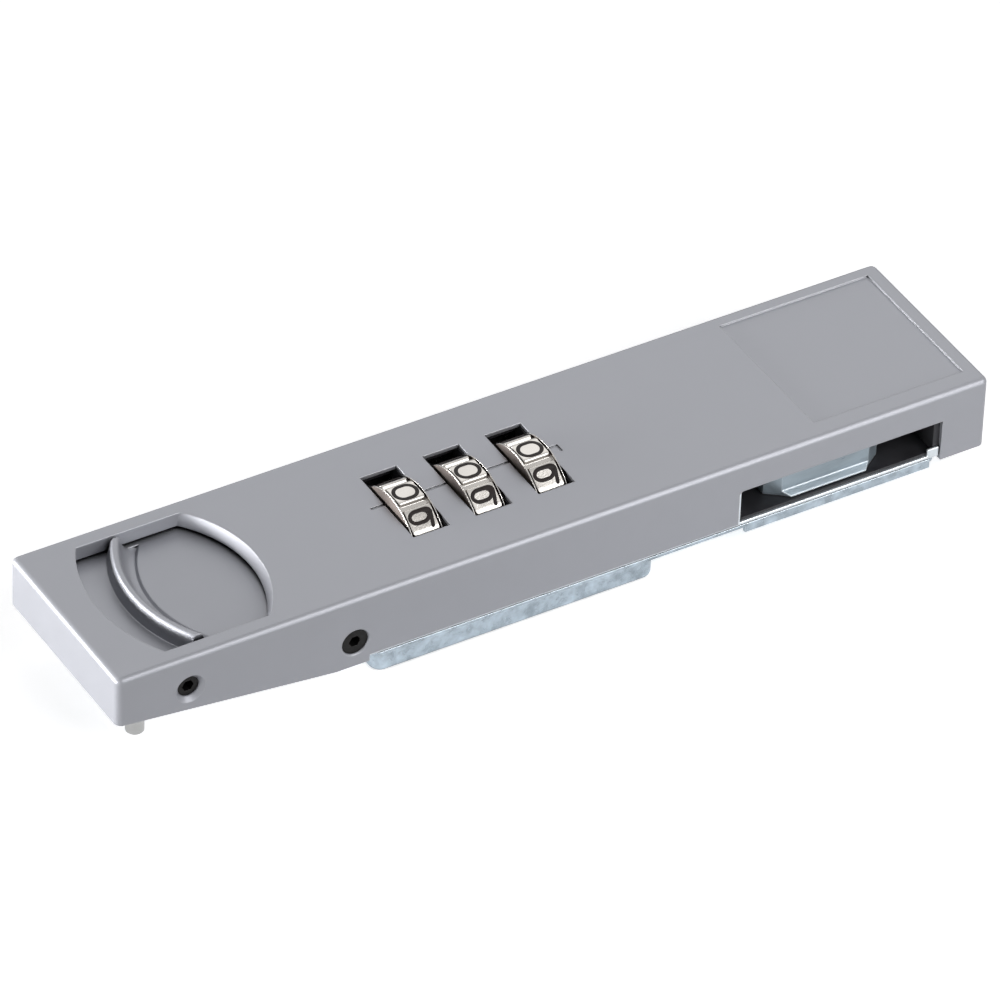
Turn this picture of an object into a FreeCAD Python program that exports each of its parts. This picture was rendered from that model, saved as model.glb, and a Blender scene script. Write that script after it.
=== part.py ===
"""Surface-mounted three-dial combination lock, in millimetres.

The lock lies along X, its width is Y, and +Z points out of its front face.
The origin is under the middle of the lock, level with the underside of the dial pan.
"""
import FreeCAD, Part
import Sketcher
import math
import os
import re
import sys

from FreeCAD import Placement, Rotation, Vector

# Driving dimensions, one per line: what each measures is said beside it.
SIZES = {
    "body_width": 32.7,          # whole width of the body
    "right_height": 12.7,        # body height at the bolt end
    "left_height": 8.5,          # body height at the thin end
    "taper_length": 36.8,        # how far the underside slopes from the thin end
    "pan_drop": 3.8,             # how far the dial pan hangs below the body
    "side_wall": 1.8,            # thickness of the two long walls
    "end_wall": 1.4,             # thickness of the wall at the thin end
    "top_wall": 2.0,             # thickness of the front face
    "end_block": 8.0,            # solid block at the bolt end
    "edge_radius": 0.9,          # rounding round the front face
    "corner_radius": 1.1,        # rounding of the four upright corners
    "side_height": 11.5,         # long wall from the front face to the base plate
    "running_gap": 0.3,          # room between two pieces that slide past each other
    "seat_gap": 0.05,            # room between two pieces that rest on each other
    "pin_gap": 0.05,             # room round a pin or shaft in its hole
    "window_start": 5.65,        # thin end to the window's left arc
    "window_end": 32.0,          # thin end to the window's right arc
    "window_width": 27.0,        # window across the lock
    "window_left_radius": 26.0,  # radius of the window's left arc
    "window_right_radius": 20.5, # radius of the window's right arc
    "window_draft": 0.8,         # how far the right arc's wall leans in
    "window_side_draft": 0.4,    # how far the straight walls lean in
    "dial_place": 68.2,          # thin end to the middle dial
    "dial_pitch": 10.72,         # from one dial to the next
    "dial_radius": 8.65,         # middle of a number pad from the axis
    "dial_width": 5.3,           # thickness of a number wheel
    "dial_depth": 6.9,           # front face to the dials' axis
    "dial_bevel": 0.35,          # bevel round both rims of a wheel
    "dial_count": 10,            # numbers on a wheel
    "groove_depth": 0.6,         # finger groove between two numbers
    "groove_width": 1.7,         # finger groove at the rim
    "groove_floor": 0.7,         # finger groove at its floor
    "slot_width": 6.3,           # dial slot along the lock
    "slot_length": 15.9,         # dial slot across the lock
    "slot_lip": 0.65,            # front face where it stands over the dial cradle
    "crown_rim": 1.9,            # cradle's crown past the dial slots, under that lip
    "index_width": 0.5,          # index line beside the dials
    "index_depth": 0.25,
    "index_tick": 1.5,           # short stroke at its bolt end
    "index_overrun": 2.2,        # how far the index line runs past the outer slots
    "index_offset": 0.75,        # index line off the middle of the lock
    "panel_length": 26.6,        # shallow bare panel near the bolt end
    "panel_width": 26.9,
    "panel_end": 2.6,            # bolt end to the panel
    "panel_offset": 0.55,        # panel off the middle of the lock
    "panel_depth": 0.3,
    "notch_place": 106.0,        # thin end to the notch
    "notch_length": 36.0,        # opening in the near wall where the hasp goes in
    "notch_top": 5.3,            # front face to the notch
    "notch_radius": 0.8,
    "small_screw_place": 12.2,   # thin end to the small set screw
    "small_screw_depth": 6.1,    # front face to its axis
    "small_screw_radius": 1.7,
    "small_sink_radius": 2.45,   # countersink at its mouth
    "large_screw_place": 39.9,
    "large_screw_depth": 8.3,
    "large_screw_radius": 2.15,
    "large_sink_radius": 2.4,
    "set_screw_length": 4.6,
    "small_screw_recess": 0.9,   # how deep the small screw sits
    "large_screw_recess": 0.35,
    "screw_wall": 1.0,           # casting round the large set screw
    "socket_radius": 1.0,        # hexagon socket, centre to corner
    "socket_depth": 1.6,
    "stud_radius": 1.45,         # locating stud under the thin end
    "stud_place": 5.4,           # thin end to the stud
    "stud_inset": 4.4,           # long side to the stud
    "stud_clear": 2.0,           # stud tip above the underside of the pan
    "stud_grip": 4.0,            # length pressed into the body
    "stud_neck": 1.2,            # radius of the pressed length
    "stud_bevel": 0.4,           # bevel round the stud's tip
    "stud_block": 15.4,          # thin end to the end of the corner block
    "block_width": 5.4,          # width of the cast blocks beside the long walls
    "slide_travel": 3.4,         # how far the thumb slide moves
    "slide_start": 5.0,          # thin end to the thumb slide
    "slide_end": 36.6,           # thin end to the slide's other end
    "slide_thick": 1.4,
    "slide_gap": 0.6,            # front face to the thumb slide below it
    "ridge_radius": 23.2,        # crest of the finger ridge, from its centre
    "ridge_place": 11.7,         # thin end to the crest
    "ridge_rise": 2.8,           # crest above the slide plate
    "ridge_back": 1.1,           # crest to the foot on the outside of the curve
    "ridge_front": 3.8,          # crest to the foot of the scooped side
    "ridge_span": 25.2,          # ridge across the lock
    "hollow_depth": 0.45,        # thumb hollow into the plate beside the ridge
    "lug_start": 30.0,           # thin end to the lug under the thumb slide
    "lug_length": 6.0,
    "lug_width": 7.2,
    "lug_below": 2.4,            # lug below the spindle's axis
    "lug_wall": 1.0,             # closed end of the lug's hole
    "spindle_gap": 0.2,          # each end of the spindle short of its hole
    "cover_thick": 0.8,          # plate that holds the slide up
    "cover_start": 1.7,          # thin end to the cover's tongue
    "ledge_overlap": 2.5,        # how far the tongue lies on its ledge
    "post_start": 38.4,          # thin end to the posts that carry the cover
    "post_length": 4.0,
    "post_width": 4.4,
    "cover_screw_radius": 0.9,
    "cover_head_radius": 1.7,
    "cover_head_height": 0.9,
    "sleeve_radius": 4.2,        # outside of the sleeve in a dial
    "sleeve_bore": 3.4,
    "web_thick": 1.0,            # wall inside the sleeve with the gate in it
    "gate_width": 1.7,           # slot in that wall
    "key_width": 0.9,            # key that locks a wheel to its sleeve
    "key_height": 0.4,           # how far the key stands out of the sleeve
    "sleeve_gap": 0.3,           # room between the ends of two sleeves
    "spindle_radius": 1.6,
    "fin_thick": 1.0,            # fin on the spindle
    "fin_width": 1.3,
    "fin_reach": 3.1,            # fin tip from the axis
    "fin_gap": 0.35,             # fin to the gate wall, at rest
    "cradle_wall": 1.0,          # cradle wall past the outer sleeves
    "cradle_width": 24.6,
    "cradle_slot": 1.5,          # groove that holds the detent spring
    "spring_leaf": 0.3,          # thickness of the detent spring
    "leaf_below": 4.0,           # detent spring below the dials' axis
    "leaf_end": 1.0,             # detent spring past the outer wheels' bays
    "nose_height": 3.2,          # bowed finger of the detent spring
    "plate_start": 42.4,         # thin end to the base plate
    "plate_end": 8.2,            # bolt end to the base plate
    "plate_inset": 0.3,          # long side to the plates' edges
    "plate_room": 0.2,           # body to the plates' end
    "base_thick": 0.5,
    "pan_thick": 0.6,            # sheet of the lower plate and its pan
    "pan_start": 43.6,
    "pan_length": 48.5,
    "pan_inset": 0.6,            # long side to the pan
    "pan_corner": 2.0,
    "pan_edge": 1.0,             # rounding round the pan's floor
    "plate_gap": 0.15,           # dark line between the two plates
    "lip_drop": 1.0,             # turned-down lip under the notch
    "lip_inset": 1.5,            # ends of the notch to the ends of the lip
    "tab_thick": 0.4,            # upturned tabs of the base plate
    "left_tab_rise": 5.6,
    "left_tab_width": 4.0,       # left tab across the lock
    "right_tab_rise": 1.2,
    "right_tab_length": 2.0,     # right tab along the lock
    "boss_length": 7.0,
    "boss_width": 6.4,
    "base_screw_radius": 1.25,
    "base_screw_length": 7.0,
    "drive_length": 2.2,         # slot for the screwdriver
    "drive_width": 0.5,
    "base_screw_inset": 4.9,     # long side to the base screws
    "rivet_radius": 1.1,
    "rivet_head": 2.0,
    "rivet_height": 0.5,
    "rivet_place": 13.4,         # bolt end to the plate rivets
    "rivet_offset": 9.0,
    "fixing_radius": 1.25,       # tapped holes for the buyer's own screws
    "fixing_depth": 7.5,
    "fixing_place": 4.0,         # bolt end to the tapped holes
    "fixing_spacing": 18.0,
    "guide_back": 1.0,           # guide block's end past the notch's end
    "guide_inset": 1.95,         # long side to the guide block
    "apron_inset": 0.75,         # long side to the guide's floor and end wall in the notch
    "lining_thick": 1.0,         # that end wall, against the end block
    "guide_floor": 0.4,
    "guide_roof": 1.8,
    "bolt_room": 6.7,            # notch to the bolt's base
    "bolt_length": 20.2,
    "bolt_inset": 2.25,          # long side to the bolt's face
    "bolt_face_thick": 1.7,
    "bolt_left_bevel": 2.3,
    "bolt_right_bevel": 2.5,
    "toe_inset": 1.2,            # long side to the bolt's sloping toe
    "toe_edge": 0.2,            # height of the toe's edge
    "toe_rise": 0.85,            # height of the toe where it meets the face
    "bolt_plate": 1.7,
    "bolt_heel": 0.75,           # foot plate past the riser
    "riser_inset": 0.3,          # end of the bolt's base to the riser
    "riser_length": 5.4,
    "riser_width": 5.8,
    "riser_wall": 0.6,           # closed end of the riser's hole
    "cross_pin_radius": 0.6,
    "coil_radius": 2.35,         # return spring, to the middle of its wire
    "coil_wire": 0.6,
    "coil_length": 12.9,         # cradle to the spring's collar
    "collar_thick": 1.2,
    "collar_radius": 2.9,
}

# Places worked out from the driving dimensions.
PLACES = {
    "body_length": "notch_place + notch_length + end_block",
    "left": "0 - body_length / 2",
    "right": "body_length / 2",
    "near": "0 - body_width / 2",
    "far": "body_width / 2",
    "top": "right_height + pan_drop",
    "ceiling": "top - top_wall",
    "axis": "top - dial_depth",
    "plate_top": "top - side_height",
    "dial_x": "left + dial_place",
    "bay_width": "dial_width + 2 * running_gap",
    "sleeve_length": "dial_pitch - sleeve_gap",
    "fin_shift": "web_thick / 2 + fin_gap",
    "slide_top": "ceiling - slide_gap",
    "slide_low": "slide_top - slide_thick",
    "cover_top": "slide_low - running_gap",
    "cover_low": "cover_top - cover_thick",
    "block_top": "slide_low - seat_gap",
    "stud_shoulder": "top - left_height - seat_gap - (right_height - left_height)"
                     " * (stud_place + stud_radius) / taper_length",
    "tongue_width": "body_width - 2 * (side_wall + block_width + running_gap)",
    "ridge_x": "left + ridge_place + ridge_radius",
    "lower_top": "plate_top - base_thick - plate_gap",
    "pan_width": "body_width - 2 * pan_inset",
    "cradle_half": "dial_pitch + sleeve_length / 2 + running_gap / 2 + cradle_wall",
    "notch_x": "left + notch_place",
    "guide_low": "plate_top + seat_gap",
    "bolt_low": "guide_low + guide_floor + running_gap / 2",
    "bolt_top": "ceiling - seat_gap - guide_roof - running_gap",
    "lug_x": "left + lug_start",
    "lug_pin_x": "lug_x + (lug_length + lug_wall) / 2",
    "spindle_x": "lug_x + lug_wall + spindle_gap",
    "spindle_end": "riser_x + riser_length - riser_wall - spindle_gap",
    "crown_length": "dial_pitch + slot_width / 2 + crown_rim",
    "crown_half": "slot_length / 2 + crown_rim",
    "spring_y": "dial_radius + running_gap",
    "leaf_y": "spring_y + cradle_slot - spring_leaf - seat_gap",
    "bolt_x": "notch_x + bolt_room",
    "bolt_back": "riser_width / 2 + bolt_heel",
    "guide_x": "notch_x + guide_back",
    "riser_x": "bolt_x + riser_inset",
    "window_middle": "window_width / 2",
    "post_offset": "body_width / 2 - side_wall - block_width - running_gap - cover_head_radius",
    "cradle_end": "dial_x + cradle_half",
    "collar_x": "cradle_end + coil_length",
    "boss_x": "(cradle_end + guide_x - boss_length) / 2",
}

WORD = re.compile(r"[a-z][a-z_]*")
parts = []


def bound(formula):
    """The same formula, reading every named size from the sheet."""

    def look_up(found):
        name = found.group(0)
        if name in PLACES:
            return "(" + bound(PLACES[name]) + ")"
        if name in SIZES:
            return "Sizes." + name
        return name

    return WORD.sub(look_up, formula)


def bind(thing, **formulas):
    """Ties properties of an object to formulas over the sheet."""
    for name, formula in formulas.items():
        thing.setExpression(name.replace("__", "."), bound(formula))


def place(thing, x, y, z):
    bind(thing, Placement__Base__x=x, Placement__Base__y=y, Placement__Base__z=z)
    return thing


def box(name, x, y, z, length, width, height):
    """A block whose lowest corner is at x, y, z."""
    block = doc.addObject("Part::Box", name)
    bind(block, Length=length, Width=width, Height=height)
    return place(block, x, y, z)


TURNS = {
    "x": Rotation(Vector(0, 1, 0), 90),
    "y": Rotation(Vector(1, 0, 0), -90),
    "z": Rotation(),
}


def rod(name, along, x, y, z, radius, height):
    """A cylinder that starts at x, y, z and runs along +X, +Y or +Z."""
    bar = doc.addObject("Part::Cylinder", name)
    bar.Placement = Placement(Vector(), TURNS[along])
    bind(bar, Radius=radius, Height=height)
    return place(bar, x, y, z)


def cone(name, along, x, y, z, first, last, height):
    """A cone frustum that starts at x, y, z with the first radius."""
    taper = doc.addObject("Part::Cone", name)
    taper.Placement = Placement(Vector(), TURNS[along])
    bind(taper, Radius1=first, Radius2=last, Height=height)
    return place(taper, x, y, z)


def fuse(name, pieces):
    whole = doc.addObject("Part::MultiFuse", name)
    whole.Shapes = pieces
    whole.Refine = True
    return whole


def cut(name, base, tools):
    """The base with every tool taken away."""
    tool = tools[0] if len(tools) == 1 else fuse(name + "_tools", tools)
    left_over = doc.addObject("Part::Cut", name)
    left_over.Base = base
    left_over.Tool = tool
    left_over.Refine = True
    return left_over


def common(name, pieces):
    shared = doc.addObject("Part::MultiCommon", name)
    shared.Shapes = pieces
    return shared


def part(label, thing):
    """Names a finished sub-part: its label is the name of its file."""
    thing.Label = label
    parts.append(thing)
    return thing


def plane(body, role):
    return next(f for f in body.Origin.OriginFeatures if f.Role == role)


def sketch(body, name, role, offset="0"):
    """A sketch on one of the body's own origin planes, moved along the plane's normal."""
    drawing = body.newObject("Sketcher::SketchObject", name)
    drawing.AttachmentSupport = (plane(body, role), [""])
    drawing.MapMode = "FlatFace"
    bind(drawing, AttachmentOffset__Base__z=offset)
    return drawing


def outline(drawing, corners):
    """A closed polygon whose corners are held at formulas over the sheet."""
    count = len(corners)
    turn = 2 * math.pi / count
    rough = [Vector(count * math.cos(i * turn), count * math.sin(i * turn), 0) for i in range(count)]
    first = drawing.GeometryCount
    for i in range(count):
        drawing.addGeometry(Part.LineSegment(rough[i], rough[(i + 1) % count]), False)
    for i in range(count):
        following = first + (i + 1) % count
        drawing.addConstraint(Sketcher.Constraint("Coincident", first + i, 2, following, 1))
    for i, (across, up) in enumerate(corners):
        for kind, formula in (("DistanceX", across), ("DistanceY", up)):
            start = rough[i].x if kind == "DistanceX" else rough[i].y
            number = drawing.addConstraint(Sketcher.Constraint(kind, -1, 1, first + i, 1, start))
            drawing.setExpression(f"Constraints[{number}]", bound(formula))


def ring(drawing, across, up, radius):
    """A circle whose centre and radius are held at formulas over the sheet."""
    index = drawing.addGeometry(Part.Circle(Vector(1, 1, 0), Vector(0, 0, 1), 2), False)
    held = (
        (Sketcher.Constraint("DistanceX", -1, 1, index, 3, 1.0), across),
        (Sketcher.Constraint("DistanceY", -1, 1, index, 3, 1.0), up),
        (Sketcher.Constraint("Radius", index, 2.0), radius),
    )
    for constraint, formula in held:
        number = drawing.addConstraint(constraint)
        drawing.setExpression(f"Constraints[{number}]", bound(formula))


def pad(body, drawing, name, length, midplane=False):
    block = body.newObject("PartDesign::Pad", name)
    block.Profile = drawing
    block.SideType = "Symmetric" if midplane else "One side"
    bind(block, Length=length)
    drawing.Visibility = False
    doc.recompute()
    return block


def rounded(body, base, name, radius, chosen):
    """Rounds every edge of the base feature that the chosen test accepts."""
    edges = [f"Edge{i + 1}" for i, edge in enumerate(base.Shape.Edges) if chosen(edge)]
    fillet = body.newObject("PartDesign::Fillet", name)
    fillet.Base = (base, edges)
    bind(fillet, Radius=radius)
    doc.recompute()
    return fillet


def size(name):
    return float(sheet.get(name))


def upright(edge):
    a, b = edge.Vertexes[0].Point, edge.Vertexes[-1].Point
    return abs(a.x - b.x) < 1e-6 and abs(a.y - b.y) < 1e-6


doc = FreeCAD.newDocument("combination_lock")
sheet = doc.addObject("Spreadsheet::Sheet", "Sizes")
for row, (alias, number) in enumerate(SIZES.items(), start=1):
    sheet.set(f"A{row}", alias.replace("_", " "))
    sheet.set(f"B{row}", str(number))
    sheet.setAlias(f"B{row}", alias)
doc.recompute()

# Die-cast body: a long block with a sloping underside, rounded round the front face.
top_level = size("right_height") + size("pan_drop")
shell = doc.addObject("PartDesign::Body", "BodyBlank")
side = sketch(shell, "SideProfile", "XZ_Plane")
outline(side, [
    ("left", "top - left_height"),
    ("left + taper_length", "pan_drop"),
    ("right", "pan_drop"),
    ("right", "top"),
    ("left", "top"),
])
blank = pad(shell, side, "BodyPad", "body_width", midplane=True)
blank = rounded(shell, blank, "UprightCorners", "corner_radius", upright)
blank = rounded(
    shell, blank, "FrontEdges", "edge_radius",
    lambda edge: all(abs(v.Point.z - top_level) < 1e-6 for v in edge.Vertexes),
)

# Hollow of the body, less the blocks and posts that the casting keeps.
hollow = box(
    "Hollow", "left + end_wall", "near + side_wall", "0",
    "body_length - end_wall - end_block", "body_width - 2 * side_wall", "ceiling",
)
kept = [
    box("NearStudBlock", "left", "near", "0", "stud_block", "side_wall + block_width", "block_top"),
    box("FarStudBlock", "left", "far - side_wall - block_width", "0",
        "stud_block", "side_wall + block_width", "block_top"),
    box("ScrewBlock", "left + large_screw_place - large_screw_radius - screw_wall", "near", "0",
        "plate_start - large_screw_place + large_screw_radius + screw_wall - seat_gap",
        "side_wall + block_width", "cover_low - seat_gap"),
    box("EndLedge", "left", "0 - tongue_width / 2", "0",
        "cover_start + ledge_overlap", "tongue_width", "cover_low - seat_gap"),
]
for name, sign in (("Near", "0 - "), ("Far", "")):
    kept.append(box(
        name + "Post", "left + post_start", sign + "post_offset - post_width / 2", "cover_top",
        "post_length", "post_width", "top - cover_top",
    ))
kept.append(box("NearBoss", "boss_x", "near", "plate_top",
                "boss_length", "side_wall + boss_width", "top - plate_top"))
kept.append(box("FarBoss", "boss_x", "far - side_wall - boss_width", "plate_top",
                "boss_length", "side_wall + boss_width", "top - plate_top"))
hollow = cut("HollowLessBlocks", hollow, kept)

# Recess under the long walls for the two plates, and the notch for the hasp.
plate_recess = box(
    "PlateRecess", "left + plate_start - seat_gap", "near - 1", "0 - 1",
    "body_length - plate_start - end_block + seat_gap", "body_width + 2", "plate_top + 1",
)
notch = doc.addObject("PartDesign::Body", "NotchTool")
notch_front = sketch(notch, "NotchFront", "XZ_Plane", "0 - near - side_wall - 1")
outline(notch_front, [
    ("notch_x", "0"),
    ("right - end_block", "0"),
    ("right - end_block", "top - notch_top"),
    ("notch_x", "top - notch_top"),
])
notch_block = pad(notch, notch_front, "NotchPad", "side_wall + 2")
notch_middle = notch_block.Shape.BoundBox.Center
rounded(
    notch, notch_block, "NotchCorners", "notch_radius",
    lambda edge: edge.CenterOfMass.z > notch_middle.z and edge.CenterOfMass.x < notch_middle.x
    and abs(edge.Vertexes[0].Point.y - edge.Vertexes[-1].Point.y) > 0.5,
)

# Window for the thumb slide: two arcs and two straight sides, all leaning in a little.
window = common("Window", [
    cone("WindowLeftArc", "z", "left + window_start + window_left_radius", "0", "ceiling - 1",
         "window_left_radius", "window_left_radius", "top_wall + 2"),
    cone("WindowRightArc", "z", "left + window_end - window_right_radius", "0", "ceiling",
         "window_right_radius - window_draft", "window_right_radius", "top_wall"),
])
straight = doc.addObject("Part::Wedge", "WindowSides")
straight.Placement = Placement(Vector(), Rotation(Vector(1, 0, 0), 90))
bind(
    straight, Xmin="left", Xmax="left + 2 * window_end", X2min="left", X2max="left + 2 * window_end",
    Ymin="ceiling", Ymax="top", Zmin="window_side_draft - window_middle",
    Zmax="window_middle - window_side_draft", Z2min="0 - window_middle", Z2max="window_middle",
)
window = common("WindowTool", [window, straight])

# Dial slots with room for the cradle's crown below, the index line and the shallow bare panel.
face_cuts = [window, plate_recess, hollow, notch]
face_cuts.append(box(
    "CrownRoom", "dial_x - crown_length - seat_gap", "0 - crown_half - seat_gap", "ceiling - 1",
    "2 * crown_length + 2 * seat_gap", "2 * crown_half + 2 * seat_gap", "top_wall - slot_lip + 1",
))
for index, shift in enumerate(("0 - dial_pitch", "0", "dial_pitch"), start=1):
    face_cuts.append(box(
        f"DialSlot{index}", f"dial_x + {shift} - slot_width / 2", "0 - slot_length / 2", "ceiling - 1",
        "slot_width", "slot_length", "top_wall + 2",
    ))
face_cuts.append(box(
    "IndexLine", "dial_x - dial_pitch - slot_width / 2 - index_overrun",
    "index_offset - index_width / 2", "top - index_depth",
    "2 * dial_pitch + slot_width + 2 * index_overrun", "index_width", "1",
))
face_cuts.append(box(
    "IndexTick", "dial_x + dial_pitch + slot_width / 2 + index_overrun - index_width",
    "index_offset - index_tick", "top - index_depth", "index_width", "index_tick", "1",
))
face_cuts.append(box(
    "BarePanel", "right - panel_end - panel_length", "panel_offset - panel_width / 2",
    "top - panel_depth", "panel_length", "panel_width", "1",
))

# Set-screw holes in the near wall, stud holes, screw holes and the buyer's tapped holes.
for kind in ("small", "large"):
    x = f"left + {kind}_screw_place"
    z = f"top - {kind}_screw_depth"
    hole = f"{kind}_screw_radius + pin_gap"
    sink = f"{kind}_sink_radius"
    face_cuts.append(rod(kind.title() + "ScrewHole", "y", x, "near - 1", z, hole,
                         "side_wall + block_width + 2"))
    face_cuts.append(cone(kind.title() + "ScrewSink", "y", x, "near - 0.01", z, sink, hole,
                          f"{kind}_sink_radius - {kind}_screw_radius"))
for name, y in (("Near", "near + stud_inset"), ("Far", "far - stud_inset")):
    face_cuts.append(rod(name + "StudHole", "z", "left + stud_place", y, "0",
                         "stud_neck", "stud_shoulder + stud_grip + seat_gap"))
for name, sign in (("Near", "0 - "), ("Far", "")):
    face_cuts.append(rod(
        name + "PostHole", "z", "left + post_start + post_length / 2", sign + "post_offset",
        "cover_top - 1", "cover_screw_radius", "top_wall + 2",
    ))
    face_cuts.append(rod(
        name + "FixingHole", "z", "right - fixing_place", sign + "fixing_spacing / 2",
        "pan_drop - 1", "fixing_radius", "fixing_depth + 1",
    ))
for name, y in (("Near", "near + base_screw_inset"), ("Far", "far - base_screw_inset")):
    face_cuts.append(rod(
        name + "BossHole", "z", "boss_x + boss_length / 2", y, "0",
        "base_screw_radius", "pan_drop + base_screw_length",
    ))
part("body_shell", cut("BodyShell", shell, face_cuts))

# Locating studs: two short pins pressed into the corner blocks.
studs = []
for name, y in (("Near", "near + stud_inset"), ("Far", "far - stud_inset")):
    tip = cone(name + "StudTip", "z", "left + stud_place", y, "stud_clear",
               "stud_radius - stud_bevel", "stud_radius", "stud_bevel")
    shank = rod(name + "StudShank", "z", "left + stud_place", y, "stud_clear + stud_bevel",
                "stud_radius", "stud_shoulder - stud_clear - stud_bevel")
    neck = rod(name + "StudNeck", "z", "left + stud_place", y, "stud_shoulder", "stud_neck", "stud_grip")
    studs.append(fuse(name + "Stud", [tip, shank, neck]))
group = doc.addObject("Part::Compound", "LocatingStuds")
group.Links = studs
part("locating_studs", group)

# Set screws: black, with a hexagon socket towards the buyer.
for kind in ("small", "large"):
    x = f"left + {kind}_screw_place"
    z = f"top - {kind}_screw_depth"
    start = f"near + {kind}_screw_recess"
    shank = rod(kind.title() + "Shank", "y", x, start, z, f"{kind}_screw_radius", "set_screw_length")
    socket = doc.addObject("Part::Prism", kind.title() + "Socket")
    socket.Polygon = 6
    socket.Placement = Placement(Vector(), TURNS["y"])
    bind(socket, Circumradius="socket_radius", Height="socket_depth + 1")
    place(socket, x, start + " - 1", z)
    point = cone(kind.title() + "Point", "y", x, start + " + set_screw_length", z,
                 f"{kind}_screw_radius", f"{kind}_screw_radius / 2", f"{kind}_screw_radius / 2")
    part(kind + "_set_screw", cut(kind.title() + "SetScrew", fuse(kind + "Solid", [shank, point]), [socket]))

# Thumb slide: a plate with a crescent finger ridge, and a lug that holds the spindle.
slide_body = doc.addObject("PartDesign::Body", "ThumbRidge")
ridge_profile = sketch(slide_body, "RidgeProfile", "XZ_Plane")
outline(ridge_profile, [
    ("0 - ridge_radius - ridge_back", "slide_low"),
    ("0 - ridge_radius + ridge_front * 0.8", "slide_low"),
    ("0 - ridge_radius + ridge_front * 0.8", "slide_top - hollow_depth"),
    ("0 - ridge_radius + ridge_front * 0.6", "slide_top - hollow_depth * 0.7"),
    ("0 - ridge_radius + ridge_front * 0.4", "slide_top + ridge_rise * 0.1"),
    ("0 - ridge_radius + ridge_front * 0.27", "slide_top + ridge_rise * 0.38"),
    ("0 - ridge_radius + ridge_front * 0.17", "slide_top + ridge_rise * 0.92"),
    ("0 - ridge_radius + ridge_front * 0.08", "slide_top + ridge_rise"),
    ("0 - ridge_radius - ridge_back * 0.2", "slide_top + ridge_rise"),
    ("0 - ridge_radius - ridge_back * 0.5", "slide_top + ridge_rise * 0.86"),
    ("0 - ridge_radius - ridge_back", "slide_top"),
])
turned = slide_body.newObject("PartDesign::Revolution", "RidgeTurned")
turned.Profile = ridge_profile
turned.ReferenceAxis = (ridge_profile, ["V_Axis"])
turned.Angle = 90
turned.Midplane = True
place(slide_body, "ridge_x", "0", "0")
doc.recompute()
ridge = common("RidgeTrimmed", [
    slide_body,
    box("RidgeEnds", "left", "0 - ridge_span / 2", "0", "window_end", "ridge_span", "top + ridge_rise"),
])
slide_plate = common("SlidePlate", [
    box("SlideBlank", "left", "near + side_wall + running_gap", "slide_low",
        "slide_end", "body_width - 2 * side_wall - 2 * running_gap", "slide_thick"),
    rod("SlideLeftArc", "z", "left + slide_start + window_left_radius", "0", "slide_low",
        "window_left_radius", "slide_thick"),
])
hollow_body = doc.addObject("PartDesign::Body", "ThumbHollow")
hollow_profile = sketch(hollow_body, "HollowProfile", "XZ_Plane")
outline(hollow_profile, [
    ("0 - ridge_radius", "slide_top + hollow_depth"),
    ("0 - ridge_radius", "slide_top"),
    ("0 - ridge_radius + ridge_front * 0.45", "slide_top - hollow_depth"),
    ("0 - ridge_radius + ridge_front * 0.8", "slide_top - hollow_depth"),
    ("0 - ridge_radius + ridge_front", "slide_top + hollow_depth"),
])
hollow_turned = hollow_body.newObject("PartDesign::Revolution", "HollowTurned")
hollow_turned.Profile = hollow_profile
hollow_turned.ReferenceAxis = (hollow_profile, ["V_Axis"])
hollow_turned.Angle = 90
hollow_turned.Midplane = True
place(hollow_body, "ridge_x", "0", "0")
doc.recompute()
thumb_hollow = common("HollowTrimmed", [
    hollow_body,
    box("HollowEnds", "left", "0 - ridge_span / 2", "0", "window_end", "ridge_span", "top"),
])
slide_plate = cut("HollowedPlate", slide_plate, [thumb_hollow])
lug = box("SlideLug", "lug_x", "0 - lug_width / 2", "axis - lug_below",
          "lug_length", "lug_width", "slide_low - axis + lug_below + slide_thick / 2")
spindle_hole = rod("LugHole", "x", "lug_x + lug_wall", "0", "axis", "spindle_radius + pin_gap", "lug_length")
pin_hole = rod("LugPinHole", "y", "lug_pin_x", "0 - lug_width", "axis",
               "cross_pin_radius + pin_gap / 2", "2 * lug_width")
part("thumb_slide", cut("ThumbSlide", fuse("SlideSolid", [slide_plate, ridge, lug]),
                        [spindle_hole, pin_hole]))

# Slide cover: a steel plate that holds the thumb slide against the front face.
cover = fuse("CoverBlank", [
    box("CoverTongue", "left + cover_start", "0 - tongue_width / 2", "cover_low",
        "stud_block", "tongue_width", "cover_thick"),
    box("CoverPlate", "left + stud_block + running_gap", "near + side_wall + running_gap", "cover_low",
        "post_start + post_length - stud_block - running_gap",
        "body_width - 2 * side_wall - 2 * running_gap", "cover_thick"),
])
cover_cuts = [box(
    "CoverSlot", "lug_x - slide_travel - running_gap", "0 - lug_width / 2 - running_gap",
    "cover_low - 1", "lug_length + slide_travel + 2 * running_gap",
    "lug_width + 2 * running_gap", "cover_thick + 2",
)]
for name, sign in (("Near", "0 - "), ("Far", "")):
    cover_cuts.append(rod(
        name + "CoverHole", "z", "left + post_start + post_length / 2", sign + "post_offset",
        "cover_low - 1", "cover_screw_radius + pin_gap", "cover_thick + 2",
    ))
part("slide_cover", cut("SlideCover", cover, cover_cuts))
screws = []
for name, sign in (("Near", "0 - "), ("Far", "")):
    x = "left + post_start + post_length / 2"
    y = sign + "post_offset"
    head = rod(name + "CoverHead", "z", x, y, "cover_low - seat_gap - cover_head_height",
               "cover_head_radius", "cover_head_height")
    shank = rod(name + "CoverShank", "z", x, y, "cover_low - seat_gap",
                "cover_screw_radius - pin_gap / 2", "cover_thick + top_wall")
    screws.append(fuse(name + "CoverScrew", [head, shank]))
group = doc.addObject("Part::Compound", "CoverScrews")
group.Links = screws
part("cover_screws", group)

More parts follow.
